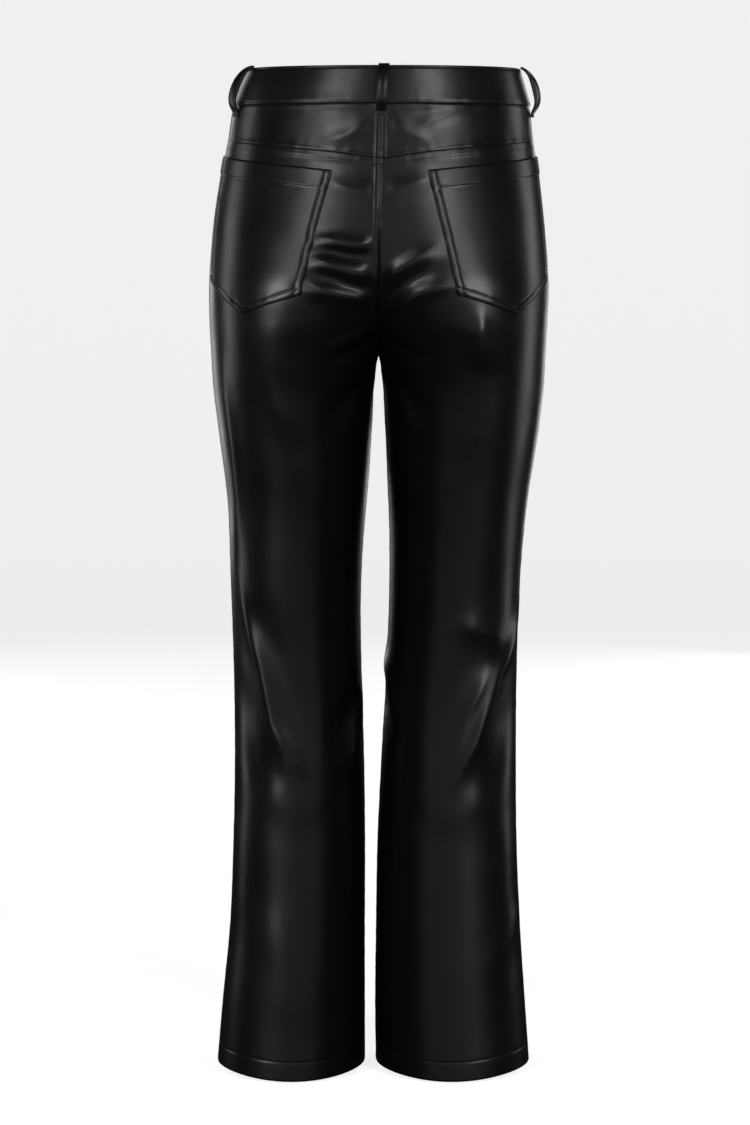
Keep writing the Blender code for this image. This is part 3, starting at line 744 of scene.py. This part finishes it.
def makeYoke(word, side):
    look = panelLook
    node, top, width, tall = "yoke_" + word, cut["waistSeam"], look["backWidth"], 54
    columns = stopsAlong(width, look["columnStep"], (0, width - look["markAway"], width))
    share = (columns / width)[None, :]
    down = (stopsAlong(tall, look["yokeRowStep"], (0, tall - 2, tall)) / tall)[:, None]
    height = top + (yokeSeam(share) - top) * down
    turn = cut["sideTurn"] + (seamTurn(side, height, 0.0, True) - cut["sideTurn"]) * share
    fromSide, fromCentre, fromBand, fromYoke = edgeDistances(spot(side, turn, height))
    lift = dip(fromSide, 0.9, look["seamDip"]) + dip(fromCentre, 0.9, look["seamDip"])
    lift += dip(fromBand, 1.0, 0.3)
    lift += 0.3 * np.exp(-((fromYoke - 1.9) / 1.7) ** 2) + dip(fromYoke, 0.6, 0.3)
    lift += raised(0.3, fromCentre, 6.2, 2.0) + dip(fromCentre - look["centreStitch"], 0.7, 0.28)
    lift += raised(0.4, fromBand, 4.8, 1.6) + dip(fromBand - 4.6, 0.7, 0.3)
    lift += puckers(0.30, fromSide, side + 23, 14, fromYoke, 10)
    lift += puckers(0.25, fromSide, side + 29, 18, fromBand, 10)
    piece = layGrid(node + "_cloth", onCloth(side, turn, height, lift)[0], side)
    giveWall(piece, cut["wall"])
    dressCloth(piece, node)
    levels = np.arange(-24.0, -70.0, -2.0)
    for away, above in ((look["centreStitch"], 0.3), (look["edgeStitch"], -0.02)):
        sewOn(node, side, seamTurn(side, levels, away, True), levels, above)
    return piece


# how far the left front stands off at a level and a distance past the centre
def flyStand(level, distance):
    stand = fly["step"] * ease((level - fly["flat"]) / (fly["full"] - fly["flat"]))
    return raised(stand, distance, fly["rampStart"], fly["rampEnd"] - fly["rampStart"])


# the fly's edge and its curved double line
def sewFly(node, points, normals, rows):
    picked = np.nonzero((rows < fly["stitchTop"]) & (rows > fly["lapLow"]))[0]
    sewGrid(node, points, normals, picked, fly["edgeColumn"], 0.2)
    straight = np.arange(fly["stitchTop"] - 1.0, fly["bendTop"], -3.0)
    bend = np.linspace(0, math.pi / 2, 30)
    for away in fly["stitchAways"]:
        levels = np.concatenate([straight, fly["bendTop"] - (away + fly["bendDeeper"]) * np.sin(bend)])
        distance = np.concatenate([np.full(len(straight), away), away * np.cos(bend) + 0.6])
        sewOn(node, 1, bisectTurn(1, levels, distance, False), levels, flyStand(levels, distance) + 0.15)


def makeFront(word, side):
    look = panelLook
    node, width, top = "front_" + word, look["frontWidth"], cut["waistSeam"]
    length = top - cut["hem"]
    marks = (0, top - fly["lapEnd"], length - cut["hemTurn"], length - 2)
    rows = top - stopsAlong(length, look["rowStep"], marks)
    columns = stopsAlong(width, look["columnStep"], (0, look["markAway"], width))
    height = np.repeat(rows[:, None], len(columns), axis=1)
    lap = np.zeros(len(rows))
    if side > 0:
        lap = fly["lap"] * ease((rows - fly["lapEnd"]) / (fly["lapLow"] - fly["lapEnd"])) ** 0.7
    past = columns[None, :] - lap[:, None]
    share = np.clip(past, 0, None) / (width - lap[:, None])
    turn = spreadTurns(side, height, 1 - share, False)
    sides = np.full(turn.shape, side)
    beyond = past < -0.2
    if beyond.any():
        turn[beyond] = bisectTurn(-1, height[beyond], -past[beyond], False)
        sides[beyond] = -1
    base = spot(sides, turn, height)
    fromCentre, fromSide, fromBand, fromHem = edgeDistances(base)
    lift = dip(fromSide, 1.0, look["seamDip"]) + dip(fromBand, 1.4, 0.7)
    lift += dip(fromCentre, 1.0, 0.8) * facingOut(sides, turn, height)
    if side > 0:
        middle = (base[..., 0] - readColumn(sections, "sway", height)) * (sides > 0)
        lift += flyStand(height, middle)
    lift += puckers(0.20, fromBand, side + 31, 15, fromCentre, 9)
    lift += puckers(0.22, fromBand, side + 37, 15, fromSide, 7)
    lift += puckers(0.22, fromCentre, side + 41, 18, fromBand, 10)
    lift += hemLift(fromHem, fromSide, side + 43)
    points, normals = onCloth(sides, turn, height, lift)
    piece = hemmedPanel(node, side, points, normals, fromHem, np.arange(1, len(columns) - 1))
    if side > 0:
        sewFly(node, points, normals, rows)
    return piece


# ---- pockets
pocketLook = {
    "wall": 1.5, "lift": 0.55, "topWidth": 148, "lowWidth": 126, "side": 124, "point": 26,
    "middle": 121, "top": -77, "tilt": 6, "drift": 8, "edgeStitch": 7.5, "hemStitch": 19,
    "step": 2.6,
}


# turns at distances along the cloth from the centre back
def turnAlongBack(side, distance, height):
    levels = np.linspace(height.min() - 4, height.max() + 4, 70)
    turns = np.linspace(215.0, 60.0, 160)
    turnGrid, levelGrid = np.meshgrid(turns, levels)
    points = spot(side, turnGrid, levelGrid)
    middle = seamTurn(side, levels, 0.0, True)
    travelled = lengthsAlong(points[..., :2], 1)
    origin = np.array([np.interp(-m, -turns, row) for m, row in zip(middle, travelled)])
    travelled -= origin[:, None]
    place = np.clip((height - levels[0]) / (levels[1] - levels[0]), 0, len(levels) - 1.001)
    low = place.astype(int)
    part = place - low
    result = np.empty(height.shape)
    for index in np.ndindex(height.shape):
        here = low[index]
        row = travelled[here] * (1 - part[index]) + travelled[here + 1] * part[index]
        result[index] = np.interp(distance[index], row, turns)
    return result


def makePocket(word, side):
    look = pocketLook
    node, stitch = "pocket_" + word, look["edgeStitch"]
    wide, tall = look["topWidth"], look["side"] + look["point"]
    across = stopsAlong(wide, look["step"], (0, stitch, wide / 2, wide - stitch, wide))[None, :] / wide - 0.5
    down = stopsAlong(tall, look["step"], (0, look["hemStitch"], tall - stitch, tall))[:, None] / tall
    length = (look["side"] + look["point"] * (1 - 2 * np.abs(across))) * down
    width = look["topWidth"] + (look["lowWidth"] - look["topWidth"]) * length / look["side"]
    along = across * width
    lean = math.radians(look["tilt"])
    distance = look["middle"] + along * math.cos(lean) + length * math.sin(lean) + look["drift"] * down
    height = look["top"] - length * math.cos(lean) + along * math.sin(lean)
    turn = np.maximum(turnAlongBack(side, distance, height), cut["sideTurn"] + 2.0)
    fromInner, fromOuter, fromTop, fromLow = edgeDistances(spot(side, turn, height))
    lift = np.full(turn.shape, look["lift"] + look["wall"] + 0.15)
    for away in (fromInner, fromOuter, fromLow):
        lift += dip(away, 0.8, 0.5) + dip(away - stitch, 0.7, 0.4)
        lift += 0.25 * np.exp(-((away - 3.8) / 2.6) ** 2)
    lift += dip(fromTop, 0.9, 0.7) + dip(fromTop - look["hemStitch"], 0.8, 0.6)
    lift += raised(0.9, fromTop, 18, 2.2)
    for away, edge, seed in ((fromInner, fromTop, 51), (fromOuter, fromTop, 53), (fromLow, fromInner, 57)):
        lift += puckers(0.28, edge, side + seed, 12, away - 6, 6)
    lift += puckers(0.15, fromInner, side + 59, 17, fromTop - look["hemStitch"], 7)
    points, normals = onCloth(side, turn, height, lift)
    # columns run outwards from the centre here, so the grid is turned over for the left leg
    piece = layGrid(node + "_cloth", points, -side)
    giveWall(piece, look["wall"])
    dressCloth(piece, node)
    # the hem's line, then one round the edge and one further in
    rows, columns = turn.shape
    hemRow = np.argmin(np.abs(fromTop[:, columns // 2] - look["hemStitch"]))
    inner = int(np.argmin(np.abs(fromInner[rows // 2] - stitch)))
    outer = int(np.argmin(np.abs(fromOuter[rows // 2] - stitch)))
    low = int(np.argmin(np.abs(fromLow[:, columns // 2] - stitch)))
    lines = [[(hemRow, column) for column in range(2, columns - 2)]]
    lines.append([(row, 2) for row in range(1, rows - 2)]
                 + [(rows - 3, column) for column in range(2, columns - 2)]
                 + [(row, columns - 3) for row in range(rows - 2, 0, -1)])
    lines.append([(row, inner) for row in range(1, low)] + [(low, column) for column in range(inner, outer)]
                 + [(row, outer) for row in range(low, 0, -1)])
    for line in lines:
        sewGrid(node, points, normals, *np.array(line).T)
    return piece


# ---- waistband, belt loops
bandLook = {"wall": 3.2, "lift": 1.2, "clear": 0.3, "lapOver": 14, "lapUnder": 22, "ramp": 30, "radius": 102,
            "columns": 420, "stitchPlaces": (5, 16)}


# a closed strip: a grid whose last row is merged with its first, with its two ends filled
def closedStrip(name, rings):
    rings = np.concatenate([rings, rings[:, :1]], axis=1)
    piece = layGrid(name, rings.transpose(1, 0, 2))
    only(piece)
    editAll()
    bpy.ops.mesh.remove_doubles(threshold=0.000005)
    bpy.ops.mesh.select_all(action="DESELECT")
    bpy.ops.mesh.select_non_manifold(extend=False, use_boundary=True, use_wire=False,
                                     use_multi_face=False, use_non_contiguous=False, use_verts=False)
    bpy.ops.mesh.edge_face_add()
    bpy.ops.mesh.select_all(action="SELECT")
    bpy.ops.mesh.normals_make_consistent(inside=False)
    bpy.ops.object.mode_set(mode="OBJECT")
    return piece


def makeWaistband():
    look = bandLook
    top, low = cut["waistTop"], cut["waistSeam"]
    outline = ((top, -1.6), (top - 0.15, -0.9), (top - 0.6, -0.3), (top - 1.3, 0.0), (top - 1.9, -0.05),
               (top - 2.4, -0.3), (top - 2.9, -0.05), (top - 4.5, 0.0), (top - 9, -0.15),
               (top - 14, -0.3), (top - 19, -0.35), (top - 24, -0.3), (low + 9.5, -0.1),
               (low + 6, 0.15), (low + 4, 0.3), (low + 3.1, 0.3), (low + 2.5, 0.02), (low + 1.9, 0.3),
               (low + 1.2, 0.2), (low + 0.5, -0.25), (low + 0.1, -0.9), (low, -1.6), (low + 0.2, -2.5),
               (low + 1.0, -3.1), (low + 4, -3.2), (0, -3.2), (top - 4, -3.2), (top - 1.0, -3.1),
               (top - 0.2, -2.5))
    heights, offsets = np.array(outline).T
    outward = np.clip((offsets + 1.6) / 1.6, 0, 1)
    start = -math.degrees(look["lapOver"] / look["radius"])
    end = 360 + math.degrees(look["lapUnder"] / look["radius"])
    under = math.degrees((look["lapUnder"] + 3) / look["radius"])
    ramp = math.degrees(look["ramp"] / look["radius"])
    turns = np.linspace(start, end, look["columns"])
    lift = (look["wall"] + look["clear"]) * ease((under + ramp - turns) / ramp)
    along = turns * 2.2
    uneven = puckers(0.22, along[:, None], 61, 13, heights - low, 7)
    uneven = uneven + puckers(0.14, along[:, None], 67, 16, heights - top, 6)
    lifts = look["lift"] + lift[:, None] + offsets[None, :] + uneven * outward[None, :]
    rings, normals = onCloth(1, turns[:, None], np.repeat(heights[None, :], len(turns), axis=0), lifts)
    piece = closedStrip("waistband_cloth", rings)
    dressCloth(piece, "waistband")
    for place in look["stitchPlaces"]:
        sewGrid("waistband", rings, normals, slice(4, -2), place, 0.12)
    return piece


loopLook = {"wide": 11, "puff": 1.3}
loopNames = ("height", "standoff")
loopRows = ((19.6, 1.7), (18.2, 1.9), (15.5, 4.4), (11, 7.0), (5, 8.5), (-2, 9.2), (-9, 9.1),
            (-15, 8.2), (-19.5, 6.1), (-23, 3.2), (-26, 1.0), (-30, 0.4))
# node, side, turn and the twist of its middle in degrees
loopPlaces = (
    ("loop_centre_back", 1, 180, 0),
    ("loop_side_left", 1, 105, 24), ("loop_side_right", -1, 95, 30),
    ("loop_front_left", 1, 34, 3), ("loop_front_right", -1, 34, -4),
)


def makeLoop(node, side, turn, twist):
    look = loopLook
    heights = np.array([19.6, 19.1, 18.6, 18.2, 17.6, 17.0, 16.2, 15.4, 14.4]
                       + list(np.arange(13.2, -15, -1.3))
                       + [-16, -17.2, -18.4, -19.5, -20.6, -21.6, -22.6, -23.6, -24.5, -25.3]
                       + [-26, -27, -28, -29, -30])
    standoff = readColumn(columnsOf(loopNames, loopRows), "standoff", heights)
    points, _ = onCloth(side, float(turn), heights, standoff)
    way = unit(np.gradient(points, axis=0))
    middle = onCloth(side, float(turn), np.array(0.0))[0]
    beside = unit(onCloth(side, turn + 1.0, np.array(0.0))[0] - onCloth(side, turn - 1.0, np.array(0.0))[0])
    out = np.cross(way, beside)
    out *= np.sign(np.sum(out * (middle * (1, 1, 0)), axis=1))[:, None]
    share = lengthsAlong(points, 0) / lengthsAlong(points, 0)[-1]
    bend = np.radians(twist * np.sin(math.pi * np.clip(share, 0, 1)) ** 2)[:, None]
    beside, out = beside * np.cos(bend) - out * np.sin(bend), out * np.cos(bend) + beside * np.sin(bend)
    half = look["wide"] / 2
    edge = [(1.2, 2.0), (half - 2.4, 2.0), (half - 1.8, 1.8), (half - 1.1, 2.05), (half - 0.4, 1.85),
            (half, 1.3), (half, 0.6)]
    outline = [(-x, y) for x, y in edge[::-1]] + edge + [(half - 0.5, 0.0), (0, 0.0), (0.5 - half, 0.0)]
    rings = np.stack([points + beside * x * mm + out * y * look["puff"] * mm for x, y in outline], axis=1)
    piece = closedStrip(node + "_cloth", rings)
    dressCloth(piece, node)
    for x in (-half + 1.8, half - 1.8):
        sew(node, (points + beside * x * mm + out * 1.9 * look["puff"] * mm)[2:-2], out[2:-2], 2.9)
    # bar tacks across both ends
    for index in (2, -3):
        line = points[index] + beside[index] * np.linspace(-half + 0.8, half - 0.8, 12)[:, None] * mm
        for offset in (0.0, 0.8):
            shifted = line + out[index] * 2.05 * look["puff"] * mm + way[index] * offset * mm
            sew(node, shifted, np.repeat(out[index][None, :], 12, axis=0), 1.5)
    return piece


# ---- button and zip
# each step of the button's top is how far it is inset and then moved up or down
buttonLook = {
    "radius": 8.5, "depth": 2.2, "middle": 1.3, "edge": 0.35, "pastCentre": 3.0,
    "steps": ((1.3, 1.1), (0.9, -0.1), (1.2, -1.3), (0.8, 0.0), (1.6, 0.8)),
    "holeHalf": 10.5, "holeHigh": 2.6,
}


def makeButton():
    look = buttonLook
    nothingSelected()
    bpy.ops.mesh.primitive_cylinder_add(vertices=64, radius=look["radius"] * mm, depth=look["depth"] * mm,
                                        location=(0, 0, look["middle"] * mm))
    piece = bpy.context.object
    piece.name = piece.data.name = "button_metal"
    bpy.ops.object.transform_apply(location=True, rotation=True, scale=True)
    for thickness, shift in look["steps"]:
        bpy.ops.object.mode_set(mode="EDIT")
        bpy.ops.mesh.select_all(action="DESELECT")
        bpy.ops.object.mode_set(mode="OBJECT")
        flats = [face for face in piece.data.polygons if face.normal.z > 0.9 and len(face.vertices) > 8]
        max(flats, key=lambda face: face.center.z).select = True
        bpy.ops.object.mode_set(mode="EDIT")
        bpy.ops.mesh.select_mode(type="FACE")
        bpy.ops.mesh.inset(thickness=thickness * mm, depth=0)
        bpy.ops.transform.translate(value=(0, 0, shift * mm))
        bpy.ops.object.mode_set(mode="OBJECT")
    bevel = piece.modifiers.new("edges", "BEVEL")
    bevel.width = look["edge"] * mm
    bevel.segments = 3
    bevel.limit_method = "ANGLE"
    bevel.angle_limit = math.radians(28)
    applyAll(piece)
    level = np.array([0.0])
    lift = bandLook["lift"] + bandLook["wall"] + 2 * bandLook["clear"]
    seat, normal = onCloth(-1, bisectTurn(-1, level, look["pastCentre"], False), level, lift)
    turned = Vector(normal[0]).to_track_quat("Z", "Y").to_matrix().to_4x4()
    piece.data.transform(Matrix.Translation(Vector(seat[0])) @ turned)
    dressMetal(piece, "button", 40)
    # thread round the buttonhole that the button's shank comes through
    angle = np.linspace(0, 2 * math.pi, 60)
    distance = look["pastCentre"] + look["holeHalf"] * np.cos(angle)
    levels = look["holeHigh"] * np.sin(angle)
    sew("buttonhole", *onCloth(-1, bisectTurn(-1, levels, distance, False), levels, lift + 0.25), 1.3)


# blocks are given by their sizes, bevel and its segments; places by level and lift
zipLook = {
    "middle": 4, "top": -24, "low": -168, "tapeLift": -2.6, "toothLift": -1.9, "toothPitch": 1.45,
    "tooth": ((3.2, 0.85, 1.5), 0.2, 1),
    "slider": ((6.6, 9, 2.6), 0.7, 3), "sliderPlace": (-31.5, -1.6),
    "pull": ((3.4, 22, 0.8), 0.25, 2), "pullPlace": (-45, -0.75),
}


# places on the cloth beside the zip's middle, with the left leg's side past the centre
def zipPlaces(x, level, lift):
    x, level, lift = np.broadcast_arrays(np.atleast_1d(x).astype(float), level, lift)
    distance = zipLook["middle"] + x
    side = np.where(distance > 0, 1, -1)
    return onCloth(side, bisectTurn(side, level, np.abs(distance), False), level, lift)


# directions across the zip, down it and out of it, from the cloth's normal
def zipWays(normal):
    out = Vector(normal)
    across = Vector((1, 0, 0)) - out * normal[0]
    across.normalize()
    return across, out.cross(across), out


def bevelledBlock(name, size, edge, segments):
    nothingSelected()
    bpy.ops.mesh.primitive_cube_add(size=1)
    piece = bpy.context.object
    piece.name = piece.data.name = name
    editAll()
    bpy.ops.transform.resize(value=[length * mm for length in size])
    bpy.ops.mesh.bevel(offset=edge * mm, segments=segments, affect="EDGES")
    bpy.ops.object.mode_set(mode="OBJECT")
    return piece


def makeZip():
    look = zipLook
    levels = np.linspace(look["top"], look["low"], 60)
    xs = np.array([-13, -9, -5.5, -3.2, -2.4, -0.9, 0.9, 2.4, 3.2, 5.5, 9, 13])
    rise = np.array([0, 0, 0, 0.15, 0.3, 0.1, 0.1, 0.3, 0.15, 0, 0, 0])
    points = zipPlaces(xs[None, :], levels[:, None], (look["tapeLift"] + rise)[None, :])[0]
    piece = layGrid("zip_tape", points)
    giveWall(piece, 1.0)
    dress(piece, "zip", [tape, tape])
    # one tooth, modelled once and copied down the chain from side to side
    toothPoints, toothFaces = takeMesh(bevelledBlock("zip_tooth", *look["tooth"]))
    chainTop = look["top"] - 12
    order = np.arange(int((chainTop - look["low"] - 5) / look["toothPitch"]))
    seats, normals = zipPlaces(np.where(order % 2 == 1, 0.75, -0.75),
                               chainTop - order * look["toothPitch"], look["toothLift"])
    vertices, faces = [], []
    for seat, normal in zip(seats, normals):
        across, way, _ = zipWays(normal)
        faces += [[corner + len(vertices) for corner in face] for face in toothFaces]
        vertices += (seat + toothPoints @ np.array([across[:], way[:], normal])).tolist()
    teeth = giveMesh("zip_teeth", vertices, faces)
    dressMetal(teeth, None, 30)
    # slider at the top, with its pull laid flat below it
    turned = Matrix(zipWays(zipPlaces(0, *look["sliderPlace"])[1][0])).transposed().to_4x4()
    for name in ("slider", "pull"):
        block = bevelledBlock("zip_" + name, *look[name])
        seat = zipPlaces(0, *look[name + "Place"])[0][0]
        block.data.transform(Matrix.Translation(Vector(seat)) @ turned)
        dressMetal(block, None, 40)


panels = {}
for word, side in legSides.items():
    panels["back_" + word] = makeBack(word, side)
    panels["yoke_" + word] = makeYoke(word, side)
    panels["front_" + word] = makeFront(word, side)
    panels["pocket_" + word] = makePocket(word, side)
    print(word, "side cut and sewn")
band = makeWaistband()
loops = [makeLoop(*place) for place in loopPlaces]
print("waistband and loops on")
makeButton()
makeZip()
makeStitches()
print("closings and stitches on")


for name, piece in panels.items():
    kind, word = name.split("_")
print("sheets declared:", len(panels) + len(loops) + 1)


# ---- floor, backdrop, lights and camera
stageLook = {
    "floorLevel": -1.0155, "floorRadius": 4.2, "curve": 2.4, "color": (0.86, 0.86, 0.86),
    "glow": 0.80, "world": (0.009, 0.009, 0.0095),
}


def makeStage():
    look = stageLook
    nothingSelected()
    radius, curve = look["floorRadius"], look["curve"]
    bpy.ops.mesh.primitive_circle_add(vertices=96, radius=radius, fill_type="NGON",
                                      location=(0, 0, look["floorLevel"]))
    floor = bpy.context.object
    floor.name = floor.data.name = "floor_and_backdrop"
    bpy.ops.object.transform_apply(location=True, rotation=True, scale=True)
    bpy.ops.object.mode_set(mode="EDIT")
    bpy.ops.mesh.select_mode(type="EDGE")
    # radius and level of each ring: a quarter turn up out of the floor, then the dome
    top = radius + curve
    angles = [part / 12 * math.pi / 2 for part in range(1, 13)]
    rings = [(radius + curve * math.sin(angle), curve * (1 - math.cos(angle))) for angle in angles]
    rings += [(top * math.cos(angle), curve + top * math.sin(angle)) for angle in angles[:-1]]
    bpy.ops.mesh.select_all(action="DESELECT")
    bpy.ops.mesh.select_non_manifold(extend=False)
    levelNow = 0.0
    for newRadius, level in rings:
        bpy.ops.mesh.extrude_region_move(TRANSFORM_OT_translate={"value": (0, 0, level - levelNow)})
        scale = newRadius / radius
        bpy.ops.transform.resize(value=(scale, scale, 1), center_override=(0, 0, 0))
        radius, levelNow = newRadius, level
    bpy.ops.mesh.edge_face_add()
    bpy.ops.mesh.select_all(action="SELECT")
    bpy.ops.mesh.normals_make_consistent(inside=True)
    bpy.ops.object.mode_set(mode="OBJECT")
    smooth(floor, 60)
    material, shader, _ = newMaterial("paleFloor", look["color"], 0.9)
    shader.inputs["Specular IOR Level"].default_value = 0.1
    shader.inputs["Emission Color"].default_value = (1, 1, 1, 1)
    shader.inputs["Emission Strength"].default_value = look["glow"]
    floor.data.materials.append(material)
    floor.visible_glossy = False
    floor.visible_diffuse = False
    floor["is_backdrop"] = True
    return floor


def softLight(name, location, target, size, power, lit):
    data = bpy.data.lights.new(name, "AREA")
    data.shape = "RECTANGLE"
    data.size, data.size_y = size
    data.energy = power
    light = bpy.data.objects.new(name, data)
    bpy.context.collection.objects.link(light)
    light.location = location
    light.rotation_euler = (Vector(target) - Vector(location)).to_track_quat("-Z", "Y").to_euler()
    light.visible_camera = False
    if lit:
        receivers = bpy.data.collections.new("lit_by_" + name)
        for piece in lit:
            receivers.objects.link(piece)
        light.light_linking.receiver_collection = receivers


floor = makeStage()
# azimuths from the camera's side, in degrees, with viewer's left positive; the height is
# above the waist, and half says which half of the trousers and their shadow a light falls on
lightRows = (
    ("key_left", 36, -0.14, 2.8, (0.72, 1.0), 19, "left"),
    ("rim_left", 104, -0.1, 2.6, (0.8, 1.9), 9, "left"),
    ("key_right", -34, -0.06, 2.8, (0.72, 1.0), 19, "right"),
    ("rim_right", -110, -0.1, 2.6, (0.8, 1.9), 9, "right"),
    ("top_left", 24, 1.15, 2.8, (0.7, 0.45), 10, "both"),
    ("top_right", -26, 1.15, 2.8, (0.7, 0.45), 10, "both"),
    ("fill", 0, -0.3, 4.6, (6.4, 3.6), 20, "both"),
    ("front_left", 152, 0.05, 3.4, (0.8, 1.8), 8, "both"),
    ("front_right", -160, 0.05, 3.4, (0.8, 1.8), 8, "both"),
)
halves = {"both": None}
for word, other in (("left", "right"), ("right", "left")):
    halves[word] = [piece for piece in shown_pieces() if other not in piece.name] + [floor]
for name, azimuth, level, far, size, power, half in lightRows:
    angle = math.radians(azimuth)
    place = (far * math.sin(angle), far * math.cos(angle), level)
    softLight(name, place, (0, 0, -0.4 if level < 1 else 0), size, power, halves[half])

world = bpy.data.worlds.new("studio")
bpy.context.scene.world = world
world.use_nodes = True
world.node_tree.nodes["Background"].inputs["Color"].default_value = (*stageLook["world"], 1)
bpy.context.scene.view_settings.view_transform = "Standard"

cameraLook = {"aim": (0.0052, 0.0, -0.4852), "far": 3.5, "elevation": 5.7, "lens": 108.5}
cameraData = bpy.data.cameras.new("camera")
cameraData.lens = cameraLook["lens"]
cameraData.sensor_width = 36
camera = bpy.data.objects.new("camera", cameraData)
bpy.context.collection.objects.link(camera)
lift = math.radians(cameraLook["elevation"])
aim = Vector(cameraLook["aim"])
camera.location = aim + Vector((0, math.cos(lift), math.sin(lift))) * cameraLook["far"]
camera.rotation_euler = (aim - camera.location).to_track_quat("-Z", "Y").to_euler()
bpy.context.scene.camera = camera
print("stage, lights and camera set")
